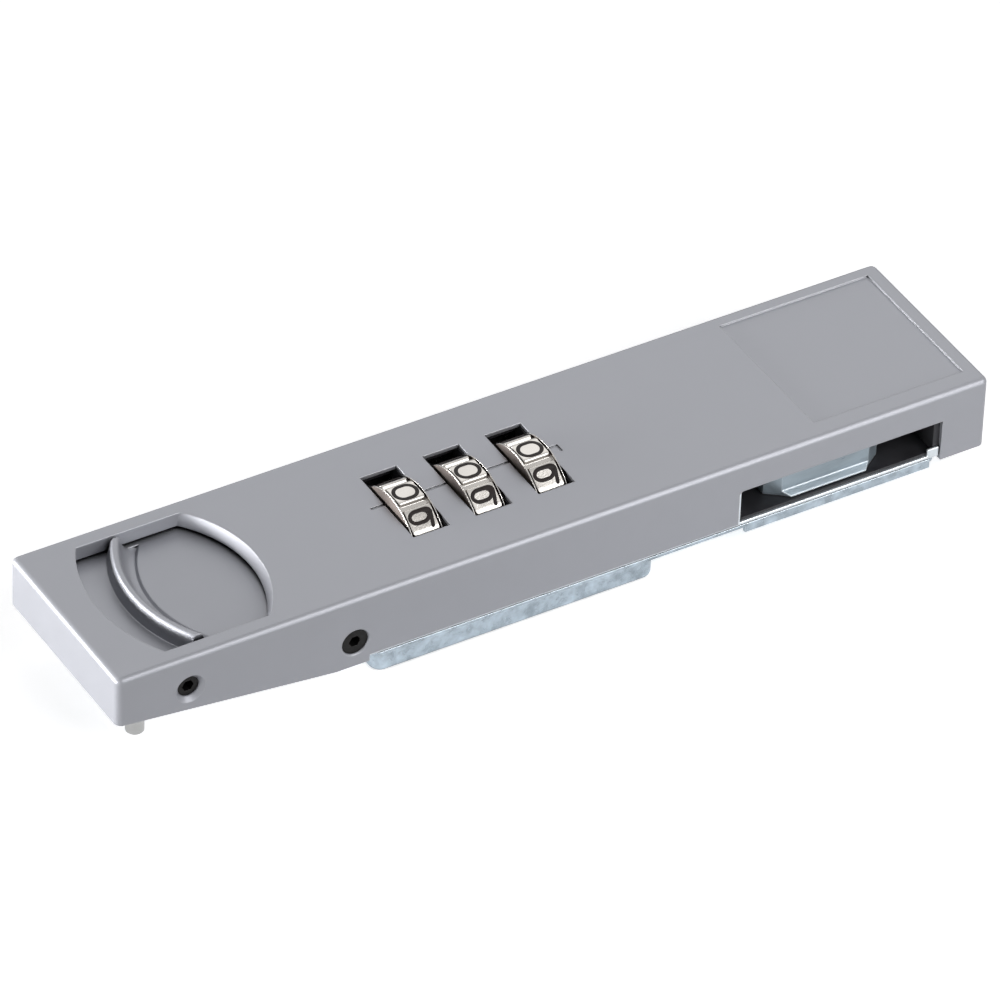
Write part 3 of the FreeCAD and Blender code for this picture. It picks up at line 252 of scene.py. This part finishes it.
# Locating studs: two turned steel pins pressed into the underside at the thin end. They
# drop into holes in the door so that the lock can't twist. All turned pieces look alike.
turned_steel = finish(
    "turned_steel", (0.46, 0.46, 0.455), 1.0, 0.24, (0.85, 0.85, 0.84), 0.00008, 0.5,
    grain_scale=6000.0, grain_depth=0.000004, grain_stretch=(0.2, 1.0, 1.0), patch=0.06,
)
dress(turned_steel, "locating_studs")

# Dial cradle: the block under the dials, with a saddle for each sleeve. It is moulded from
# black nylon, a little glossy where the sleeves rub.
black_nylon = finish(
    "black_nylon", (0.032, 0.032, 0.036), 0.0, 0.50, (0.05, 0.052, 0.056), 0.00012, 0.45,
    grain_scale=4200.0, grain_depth=0.000010, patch=0.25, roughness_spread=0.12, specular=0.3,
)
dress(black_nylon, "dial_cradle")

# Wheel sleeves: turned brass tubes, one keyed inside each wheel. The wall across each has
# the gate that passes or blocks the fins of the spindle.
turned_brass = finish(
    "turned_brass", (0.72, 0.50, 0.20), 1.0, 0.28, (0.92, 0.72, 0.38), 0.00010, 0.5,
    grain_scale=5200.0, grain_depth=0.000004, grain_stretch=(0.15, 1.0, 1.0), patch=0.08,
)
dress(turned_brass, "wheel_sleeve_1", "wheel_sleeve_2", "wheel_sleeve_3")

# Detent spring: a strip of hardened spring steel beside the wheels, with a bowed finger
# for each. Its grey-blue heat colour is left as it comes from the oven.
blued_steel = finish(
    "blued_spring_steel", (0.30, 0.30, 0.31), 1.0, 0.30, (0.55, 0.55, 0.55), 0.00008, 0.4,
    grain_scale=5200.0, grain_depth=0.000004, patch=0.12,
)
dress(blued_steel, "detent_spring")

# Number wheels: cast zinc, nickel-plated, with ten rounded pads between two thin rims.
# The rims and pads are polished bright. The sides take a darker, browner, duller copy of
# the nickel, painted shade for where they stand in the slots.
PAD_COUNT = 10
PAD_RADIUS = 0.00865
PAD_HALF_LENGTH = 0.00240
PAD_HALF_WIDTH = 0.00244
PAD_CORNER = 0.00080
PAD_SLOPE = 0.00042
PAD_MIDDLE = 0.30
PAD_LEVEL_END = 0.0015
PAD_FALL_START = 0.0018
END_STEEPNESS = 1.8
SLOPE_COLUMNS = 12
MIDDLE_COLUMNS = 9
WHEEL_FLOOR = 0.00820
WHEEL_HALF = 0.00265
RIM_RADIUS = 0.00880
RIM_START = 0.00241
RIM_SLOPE = 0.00008
RIM_BEVEL = 0.00010
WHEEL_BORE = 0.00425
DIAL_X = (-0.01752, -0.0068, 0.00392)
DIAL_AXIS_Z = 0.0096


def smooth_step(value):
    """Zero up to 0, one from 1 on, and three squares less two cubes between them."""
    value = np.clip(value, 0.0, 1.0)
    return value * value * (3.0 - 2.0 * value)


def number_wheel(dial_x):
    """A closed section carried round the axis. Outside, the radius is the floor's, raised to
    the flat of a pad by how far the point lies within that pad's rounded rectangle, or to
    the rim's radius beyond the pads' ends. The grid is closer where a pad slopes than over
    its middle, which is a part of the turn from pad to pad."""
    step = 2 * math.pi / PAD_COUNT
    within = np.concatenate([
        np.linspace(-0.5, -PAD_MIDDLE, SLOPE_COLUMNS, endpoint=False),
        np.linspace(-PAD_MIDDLE, PAD_MIDDLE, MIDDLE_COLUMNS, endpoint=False),
        np.linspace(PAD_MIDDLE, 0.5, SLOPE_COLUMNS, endpoint=False),
    ])
    angle = (np.arange(PAD_COUNT)[:, None] + within[None, :]).ravel() * step
    off_pad = np.tile(within * step, PAD_COUNT)
    half_rim = np.concatenate([
        np.linspace(0.0, PAD_LEVEL_END, 4), np.linspace(PAD_FALL_START, PAD_HALF_LENGTH, 10),
        np.linspace(RIM_START, RIM_START + RIM_SLOPE, 4), [WHEEL_HALF - RIM_BEVEL],
    ])
    rim = np.concatenate([-half_rim[:0:-1], half_rim])
    flat = np.minimum(PAD_RADIUS / np.cos(off_pad), RIM_RADIUS)
    sideways = PAD_RADIUS * np.tan(off_pad)
    corner = np.stack(np.broadcast_arrays(
        (np.abs(rim)[:, None] - PAD_HALF_LENGTH) * END_STEEPNESS + PAD_CORNER,
        np.abs(sideways)[None, :] - PAD_HALF_WIDTH + PAD_CORNER,
    ))
    outside = np.hypot(*np.maximum(corner, 0.0)) + np.minimum(corner.max(axis=0), 0.0) - PAD_CORNER
    raised = smooth_step(-outside / PAD_SLOPE)
    ringed = smooth_step((np.abs(rim)[:, None] - RIM_START) / RIM_SLOPE)
    surface = (WHEEL_FLOOR + (flat[None, :] - WHEEL_FLOOR) * raised
               + (RIM_RADIUS - WHEEL_FLOOR) * ringed)
    edge = np.full((1, len(angle)), RIM_RADIUS - RIM_BEVEL)
    bore = np.full((1, len(angle)), WHEEL_BORE)
    middle = np.full((1, len(angle)), (WHEEL_BORE + WHEEL_FLOOR) / 2)
    radius = np.concatenate([bore, middle, edge, surface, edge, middle, bore])
    across = np.concatenate([[-WHEEL_HALF] * 3, rim, [WHEEL_HALF] * 3])
    grid = np.stack([
        np.broadcast_to(dial_x + across[:, None], radius.shape),
        radius * np.sin(angle),
        DIAL_AXIS_Z + radius * np.cos(angle),
    ], -1)
    return np.concatenate([grid, grid[:1]])


def sheet_faces(rows, columns, shift=0, closed=False):
    """Quads between neighbouring rows and columns of a grid, joined round when closed."""
    row = np.arange(rows - 1)[:, None]
    column = np.arange(columns if closed else columns - 1)[None, :]
    beside = (column + 1) % columns
    quads = np.stack([row * columns + column, row * columns + beside,
                      (row + 1) * columns + beside, (row + 1) * columns + column], -1)
    return quads.reshape(-1, 4) + shift


def build(name, points, faces, material):
    """A smooth mesh object at the origin from whole arrays of points and quads."""
    mesh = bpy.data.meshes.new(name)
    mesh.from_pydata(points.reshape(-1, 3), [], faces.tolist())
    mesh.polygons.foreach_set("use_smooth", np.full(len(mesh.polygons), True))
    mesh.materials.append(material)
    mesh.update()
    piece = bpy.data.objects.new(name, mesh)
    scene.collection.objects.link(piece)
    return piece


# The deep grooves turn dark brown as painted shade, and the near-white edges are painted highlight.
nickel = finish(
    "bright_nickel", (0.47, 0.45, 0.425), 1.0, 0.17, (0.98, 0.97, 0.95), 0.00014, 0.15,
    grain_scale=2600.0, grain_depth=0.000014, patch=0.14, roughness_spread=0.06,
    gap_shade_colour=(0.07, 0.05, 0.045), gap_reach=0.0008, gap_fill=0.9, gap_open=0.78,
)
dull_shaded_nickel = finish(
    "dull_shaded_nickel", (0.28, 0.24, 0.22), 0.40, 0.42, (0.80, 0.78, 0.75), 0.00012, 0.2,
    grain_scale=1800.0, grain_depth=0.000016, patch=0.35, roughness_spread=0.10,
)
SEAM_GAP = 1e-7
RIM_ANGLE = 40.0
for number, dial_x in enumerate(DIAL_X, start=1):
    wheel_grid = number_wheel(dial_x)
    rows, columns = wheel_grid.shape[:2]
    wheel = build(f"wheel_{number}", wheel_grid, sheet_faces(rows, columns, closed=True), nickel)
    # The sides get the darker, browner copy: painted shade in the slots.
    wheel.data.materials.append(dull_shaded_nickel)
    # The first two bands of the section are one side, the last three the other and the bore.
    band = np.arange(rows - 1)
    dull = (band < 2) | (band >= rows - 4)
    wheel.data.polygons.foreach_set("material_index", np.repeat(dull, columns).astype(np.int32))
    joined = wheel.modifiers.new("join_seam", "WELD")
    joined.merge_threshold = SEAM_GAP
    sharp = wheel.modifiers.new("sharp_rims", "EDGE_SPLIT")
    sharp.split_angle = math.radians(RIM_ANGLE)
    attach(wheel, f"dial_{number}")
    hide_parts(f"number_wheel_{number}")

# Numbers: each is cast into its pad and filled with dark brown-black enamel, which
# stands a hair above the metal. The 0 is at the top, and the numbers climb away
# from the notch side.
DIGIT_HEIGHT = 0.0044
DIGIT_WIDTH = 0.0037
STROKE = 0.00078
ENAMEL_RISE = 0.00004
ENAMEL_SINK = 0.00010
CAP_ANGLES = (90.0, 67.0, 45.0, 22.0)
CAP_TIP = 0.02
ROW_SPACING = 0.35
LEAST_ROWS = 12
COLUMNS_ACROSS = 9
SAME_POINT = 1e-9


def arc(middle, radius, start, turn, count=22):
    """Points on an ellipse: middle plus the radii times the cosine and sine of an angle
    that runs evenly from start through turn, both in degrees."""
    angle = np.radians(start + turn * np.linspace(0.0, 1.0, count))
    across = middle[0] + radius[0] * np.cos(angle)
    up = middle[1] + radius[1] * np.sin(angle)
    return np.stack([across, up], 1)


def stroke_lines(figure):
    """The middle lines of a figure's strokes, in a box from -1 to 1 across and up. Bends are
    ellipses, straight strokes are their end points, and a 9 is a 6 turned upside down."""
    line = np.array
    figures = {
        0: [np.concatenate([arc((0, 0.25), (1.0, 0.75), 0, 180),
                            arc((0, -0.25), (1.0, 0.75), 180, 180), line([[1.0, 0.25]])])],
        1: [line([[-0.42, 0.62], [-0.05, 0.80], [0.10, 1.0], [0.10, -1.0]])],
        2: [np.concatenate([arc((0, 0.36), (0.82, 0.64), 165, -195),
                            line([[-0.84, -1.0], [0.88, -1.0]])])],
        3: [np.concatenate([arc((-0.05, 0.53), (0.80, 0.47), 150, -240),
                            arc((-0.05, -0.50), (0.88, 0.50), 90, -235)])],
        4: [line([[0.38, -1.0], [0.38, 1.0], [-0.86, -0.42], [0.90, -0.42]])],
        5: [np.concatenate([line([[0.76, 1.0], [-0.62, 1.0], [-0.72, 0.12]]),
                            arc((-0.05, -0.34), (0.86, 0.66), 128, -275)])],
        6: [np.concatenate([line([[0.85, 0.72]]), arc((-0.62, 0.55), (0.38, 0.43), 80, 100),
                            line([[-1.0, 0.55]]), arc((-0.38, -0.38), (0.62, 0.62), 180, 180),
                            arc((-0.38, 0.10), (0.62, 0.62), 0, 180), line([[-1.0, 0.10]])])],
        7: [line([[-0.84, 1.0], [0.86, 1.0], [-0.22, -1.0]])],
        8: [np.concatenate([arc((0, 0.5), (0.80, 0.5), -90, 360, 30),
                            arc((0, -0.5), (0.88, 0.5), 90, -360, 30)])],
        9: [np.concatenate([line([[-0.85, -0.72]]), arc((0.62, -0.55), (0.38, 0.43), 260, 100),
                            line([[1.0, -0.55]]), arc((0.38, 0.38), (0.62, 0.62), 0, 180),
                            arc((0.38, -0.10), (0.62, 0.62), 180, 180), line([[1.0, -0.10]])])],
    }
    return figures[figure]


def enamel_stroke(points, width, rise, sink):
    """A stroke: a low dome profile carried along the line, its ends drawn in to round caps.
    Across the stroke the height is the rise times the square root of the offset's cosine,
    and both edges are set down by the sink, into the metal."""
    step = np.linalg.norm(np.diff(points, axis=0), axis=1)
    along = np.concatenate([[0.0], np.cumsum(step)])
    kept = np.concatenate([[True], step > SAME_POINT])
    points, along = points[kept], along[kept]
    rows = max(LEAST_ROWS, int(along[-1] / (width * ROW_SPACING)))
    even = np.linspace(0.0, along[-1], rows)
    line = np.stack([np.interp(even, along, points[:, 0]), np.interp(even, along, points[:, 1])], 1)
    ahead = np.gradient(line, axis=0)
    ahead /= np.linalg.norm(ahead, axis=1, keepdims=True)
    side = np.stack([-ahead[:, 1], ahead[:, 0]], 1)
    cap_angle = np.radians(CAP_ANGLES)
    head = line[:1] - ahead[:1] * (width / 2 * np.sin(cap_angle))[:, None]
    tail = line[-1:] + ahead[-1:] * (width / 2 * np.sin(cap_angle[::-1]))[:, None]
    line = np.concatenate([head, line, tail])
    caps = len(CAP_ANGLES)
    side = np.concatenate([np.repeat(side[:1], caps, 0), side, np.repeat(side[-1:], caps, 0)])
    draw = np.concatenate([np.cos(cap_angle), np.ones(rows), np.cos(cap_angle[::-1])])
    draw = np.maximum(draw, CAP_TIP)
    offset = np.linspace(-1.0, 1.0, COLUMNS_ACROSS)
    height = rise * np.cos(offset * math.pi / 2) ** 0.5
    height[[0, -1]] = -sink
    reach = offset[None, :, None] * draw[:, None, None] * width / 2
    across = line[:, None, :] + side[:, None, :] * reach
    up = np.broadcast_to(height, across.shape[:2])
    return np.concatenate([across, up[..., None]], 2)


def enamel_numbers(dial_x):
    """All ten figures of a wheel. A figure's up is -X and its right is the way the numbers
    climb; each is laid on the flat of its pad and turned with it about the wheel's axis."""
    half = np.array([(DIGIT_WIDTH - STROKE) / 2, (DIGIT_HEIGHT - STROKE) / 2])
    points, faces, shift = [], [], 0
    for figure in range(PAD_COUNT):
        turn = 2 * math.pi * figure / PAD_COUNT
        outward = np.array([0.0, math.sin(turn), math.cos(turn)])
        right = np.array([0.0, math.cos(turn), -math.sin(turn)])
        for stroke in stroke_lines(figure):
            grid = enamel_stroke(stroke * half, STROKE, ENAMEL_RISE, ENAMEL_SINK)
            placed = (np.array([dial_x, 0.0, DIAL_AXIS_Z])
                      + grid[..., 1:2] * np.array([-1.0, 0.0, 0.0])
                      + grid[..., 0:1] * right
                      + (grid[..., 2:3] + PAD_RADIUS) * outward)
            faces.append(sheet_faces(*grid.shape[:2], shift))
            points.append(placed.reshape(-1, 3))
            shift += placed.size // 3
    return np.concatenate(points), np.concatenate(faces)


enamel = finish(
    "brown_black_enamel", (0.014, 0.009, 0.008), 0.0, 0.45, (0.030, 0.021, 0.018), 0.00005, 0.5,
    grain_scale=9000.0, grain_depth=0.000006, patch=0.3, roughness_spread=0.1, specular=0.2,
)
for number, dial_x in enumerate(DIAL_X, start=1):
    figures = build(f"numbers_{number}", *enamel_numbers(dial_x), enamel)
    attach(figures, f"dial_{number}")

# Thumb slide: cast and lacquered as the body is. It lies under the window, and its
# crescent ridge is what the thumb pushes.
dress(casting, "thumb_slide", edge=0.00005)

# Slide cover: strip of steel that two screws fix under the thumb slide, to hold it up to
# the front face. It has the same bluish, cloudy zinc plating as the pan plate.
# In gaps and under the body it turns near-black as painted shade; its white edges are partly wear
# and partly painted highlight.
zinc = finish(
    "blue_zinc_plating", (0.44, 0.51, 0.57), 0.92, 0.30, (0.90, 0.95, 1.0), 0.00018, 0.35,
    grain_scale=8000.0, grain_depth=0.000010, patch=0.30, roughness_spread=0.12,
    gap_shade_colour=(0.02, 0.022, 0.026), gap_reach=0.0030, gap_fill=0.8, gap_open=0.55,
)
dress(zinc, "slide_cover")
dress(turned_steel, "cover_screws")

# Slide spindle: turned steel rod that joins the thumb slide to the bolt through the
# sleeves. Its cross pins and the collar for the spring are pressed on.
dress(turned_steel, "slide_spindle", "spindle_pin", "bolt_pin", "spring_collar")

# Bolt guide: the lining of the notch, in which the foot of the bolt runs. It is moulded
# from the same black nylon as the cradle.
dress(black_nylon, "bolt_guide")

# Bolt: a cast nose with bevels all round, on a foot that runs in the nylon guide. It is
# tumbled before it is plated, so its plating is softer and less cloudy than on the sheet.
# Its near-white bevel colour is a painted highlight.
tumbled_zinc = finish(
    "tumbled_zinc_plating", (0.32, 0.38, 0.425), 0.62, 0.34, (0.95, 0.98, 1.0), 0.00035, 0.15,
    grain_scale=6000.0, grain_depth=0.000012, grain_stretch=(0.2, 1.0, 1.0), patch=0.22,
    roughness_spread=0.10,
)
dress(tumbled_zinc, "bolt", edge=0.00010)

# Pan plate and base plate: the pressed pan, and the thin bright sheet above it under the
# long walls. Both are cut and drawn from steel and zinc-plated, the sheet in clear zinc.
dress(zinc, "pan_plate", edge=0.00006)
clear_zinc = finish(
    "clear_zinc_plating", (0.74, 0.79, 0.83), 0.75, 0.28, (0.96, 0.98, 1.0), 0.00030, 0.1,
    grain_scale=3600.0, grain_depth=0.000010, patch=0.12, roughness_spread=0.08,
)
dress(clear_zinc, "base_plate", edge=0.00006)

# Rivets and base screws: bright steel. The rivets are hammered over to hold the two plates
# together, and the screws are driven into the body from below.
dress(turned_steel, "plate_rivets", "base_screws", edge=0.00005)

# Set screws: black-oxide steel with a hexagon socket, run in from the near side.
black_oxide = finish(
    "black_oxide_steel", (0.010, 0.0095, 0.0095), 0.35, 0.30, (0.10, 0.095, 0.09), 0.00008, 0.55,
    grain_scale=5200.0, grain_depth=0.000006, patch=0.3, roughness_spread=0.1, specular=0.25,
)
dress(black_oxide, "small_set_screw", "large_set_screw")

# Return spring: music wire wound as an open coil on the spindle, between the cradle
# and the collar. The real spring shortens as the slide comes across; this coil is built
# at one length and fixed to the housing.
COIL_START = 0.01030
COIL_END = 0.02315
COIL_RADIUS = 0.00235
WIRE_RADIUS = 0.0003
COIL_TURNS = 7
ROWS_TO_A_TURN = 28
POINTS_ROUND_WIRE = 10


def coil_surface(start, end, radius, wire, turns):
    """A helix about the spindle's axis, with a round section carried along it. The pitch
    eases to nothing in the first and last turn, where the wire lies on itself."""
    along = np.linspace(0.0, 1.0, turns * ROWS_TO_A_TURN + 1)
    ease = np.clip(along * turns, 0, 1) * np.clip((1 - along) * turns, 0, 1)
    climb = np.cumsum(ease)
    climb = (climb - climb[0]) / (climb[-1] - climb[0])
    angle = 2 * math.pi * turns * along
    x = start + wire + climb * (end - start - 2 * wire)
    outward = np.stack([np.zeros_like(angle), np.cos(angle), np.sin(angle)], 1)
    axis = np.stack([x, np.zeros_like(x), np.full_like(x, DIAL_AXIS_Z)], 1)
    middle = axis + outward * radius
    section = np.linspace(0.0, 2 * math.pi, POINTS_ROUND_WIRE, endpoint=False)
    ring = (np.cos(section)[None, :, None] * outward[:, None, :]
            + np.sin(section)[None, :, None] * np.array([1.0, 0.0, 0.0]))
    return middle[:, None, :] + ring * wire


coil_grid = coil_surface(COIL_START, COIL_END, COIL_RADIUS, WIRE_RADIUS, COIL_TURNS)
coil_faces = sheet_faces(*coil_grid.shape[:2], closed=True)
coil = build("return_coil", coil_grid, coil_faces, blued_steel)
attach(coil, "housing")
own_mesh(coil)
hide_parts("return_spring")

# Floor, light and camera: a pale sheet that fades to white, broad lights beyond the far
# side and over the near side, a low one at the thin end and a weak one before the notch.
SKY_COLOUR = (0.93, 0.96, 1.0, 1.0)
SKY_STRENGTH = 0.05
FLOOR_COLOUR = (0.93, 0.93, 0.93, 1.0)
FLOOR_ROUGHNESS = 0.9
FLOOR_GLOW = (0.62, 0.62, 0.62, 1.0)
FLOOR_GLOW_IN_METAL = 0.68
FLOOR_LEVEL = -0.00005
# The sheet ends just before the low light at the thin end, so no dark strip lies behind it.
FLOOR_CORNERS = ((-1.70, -3.0), (3.0, -3.0), (3.0, 3.0), (0.77, 3.0))


def background_rays(tree, in_metal):
    """One for rays from the camera or through glass, the given share for reflections, and
    nothing for the rays that light the object."""
    rays = node(tree, "ShaderNodeLightPath")
    straight = node(tree, "ShaderNodeMath", operation="MAXIMUM")
    tree.links.new(rays.outputs["Is Camera Ray"], straight.inputs[0])
    tree.links.new(rays.outputs["Is Transmission Ray"], straight.inputs[1])
    mirrored = node(tree, "ShaderNodeMath", operation="MULTIPLY")
    mirrored.inputs[1].default_value = in_metal
    tree.links.new(rays.outputs["Is Glossy Ray"], mirrored.inputs[0])
    seen = node(tree, "ShaderNodeMath", operation="MAXIMUM")
    tree.links.new(straight.outputs["Value"], seen.inputs[0])
    tree.links.new(mirrored.outputs["Value"], seen.inputs[1])
    return seen.outputs["Value"]


studio = bpy.data.worlds.new("studio")
scene.world = studio
studio.use_nodes = True
sky = studio.node_tree
sky_light = sky.nodes["Background"]
sky_light.inputs["Color"].default_value = SKY_COLOUR
sky_light.inputs["Strength"].default_value = SKY_STRENGTH
sky_white = node(sky, "ShaderNodeBackground", Color=(1, 1, 1, 1), Strength=1.0)
sky_mix = node(sky, "ShaderNodeMixShader")
sky.links.new(background_rays(sky, 1.0), sky_mix.inputs["Fac"])
sky.links.new(sky_light.outputs["Background"], sky_mix.inputs[1])
sky.links.new(sky_white.outputs["Background"], sky_mix.inputs[2])
sky.links.new(sky_mix.outputs["Shader"], sky.nodes["World Output"].inputs["Surface"])

pale = bpy.data.materials.new("pale_floor")
pale.use_nodes = True
paper = pale.node_tree
paper_shader = paper.nodes["Principled BSDF"]
paper_shader.inputs["Base Color"].default_value = FLOOR_COLOUR
paper_shader.inputs["Roughness"].default_value = FLOOR_ROUGHNESS
paper_shader.inputs["Emission Strength"].default_value = 1.0
paper_glow = node(paper, "ShaderNodeMix", data_type="RGBA")
paper_glow.inputs["A"].default_value = (0, 0, 0, 1)
paper_glow.inputs["B"].default_value = FLOOR_GLOW
paper.links.new(background_rays(paper, FLOOR_GLOW_IN_METAL), paper_glow.inputs["Factor"])
paper.links.new(paper_glow.outputs["Result"], paper_shader.inputs["Emission Color"])
floor_mesh = bpy.data.meshes.new("floor")
floor_points = np.column_stack([FLOOR_CORNERS, np.full(len(FLOOR_CORNERS), FLOOR_LEVEL)])
floor_mesh.from_pydata(floor_points, [], [(0, 1, 2, 3)])
floor_mesh.materials.append(pale)
floor = bpy.data.objects.new("floor", floor_mesh)
scene.collection.objects.link(floor)


def soft_light(name, place, aim, width, height, power, spread=180):
    """A rectangular light at a place, turned to face the aim, with its beam's full angle."""
    lamp = bpy.data.lights.new(name, "AREA")
    lamp.shape = "RECTANGLE"
    lamp.size = width
    lamp.size_y = height
    lamp.energy = power
    lamp.spread = math.radians(spread)
    thing = bpy.data.objects.new(name, lamp)
    thing.location = place
    thing.rotation_euler = (Vector(aim) - Vector(place)).to_track_quat("-Z", "Y").to_euler()
    scene.collection.objects.link(thing)


soft_light("far_side", (0.45, 0.60, 0.60), (0, 0, 0), 0.7, 0.6, 0.92)
soft_light("thin_end", (-0.44, 0.15, 0.038), (-0.075, 0, 0.010), 0.56, 0.070, 4.4)
soft_light("near_side", (0.33, -0.54, 0.50), (0.03, 0, 0.01), 0.60, 0.44, 2.8)
soft_light("beyond_notch", (0.12, -0.30, 0.07), (0.055, 0, 0.01), 0.14, 0.10, 0.028, spread=50)

# The camera's place, turn and lens come from the photograph's straight edges.
CAMERA_PLACE = (-0.581910, -0.926443, 0.890405)
CAMERA_RIGHT = (0.860212, -0.508924, 0.032110)
CAMERA_UP = (0.297877, 0.552601, 0.778396)
CAMERA_BACK = (-0.413889, -0.660021, 0.626951)
eye = bpy.data.cameras.new("camera")
eye.sensor_width = 36.0
eye.lens = 339.138
eye.clip_end = 20.0
camera = bpy.data.objects.new("camera", eye)
turned = Matrix((CAMERA_RIGHT, CAMERA_UP, CAMERA_BACK)).transposed().to_4x4()
camera.matrix_world = Matrix.Translation(CAMERA_PLACE) @ turned
scene.collection.objects.link(camera)
scene.camera = camera
scene.view_settings.view_transform = "Standard"
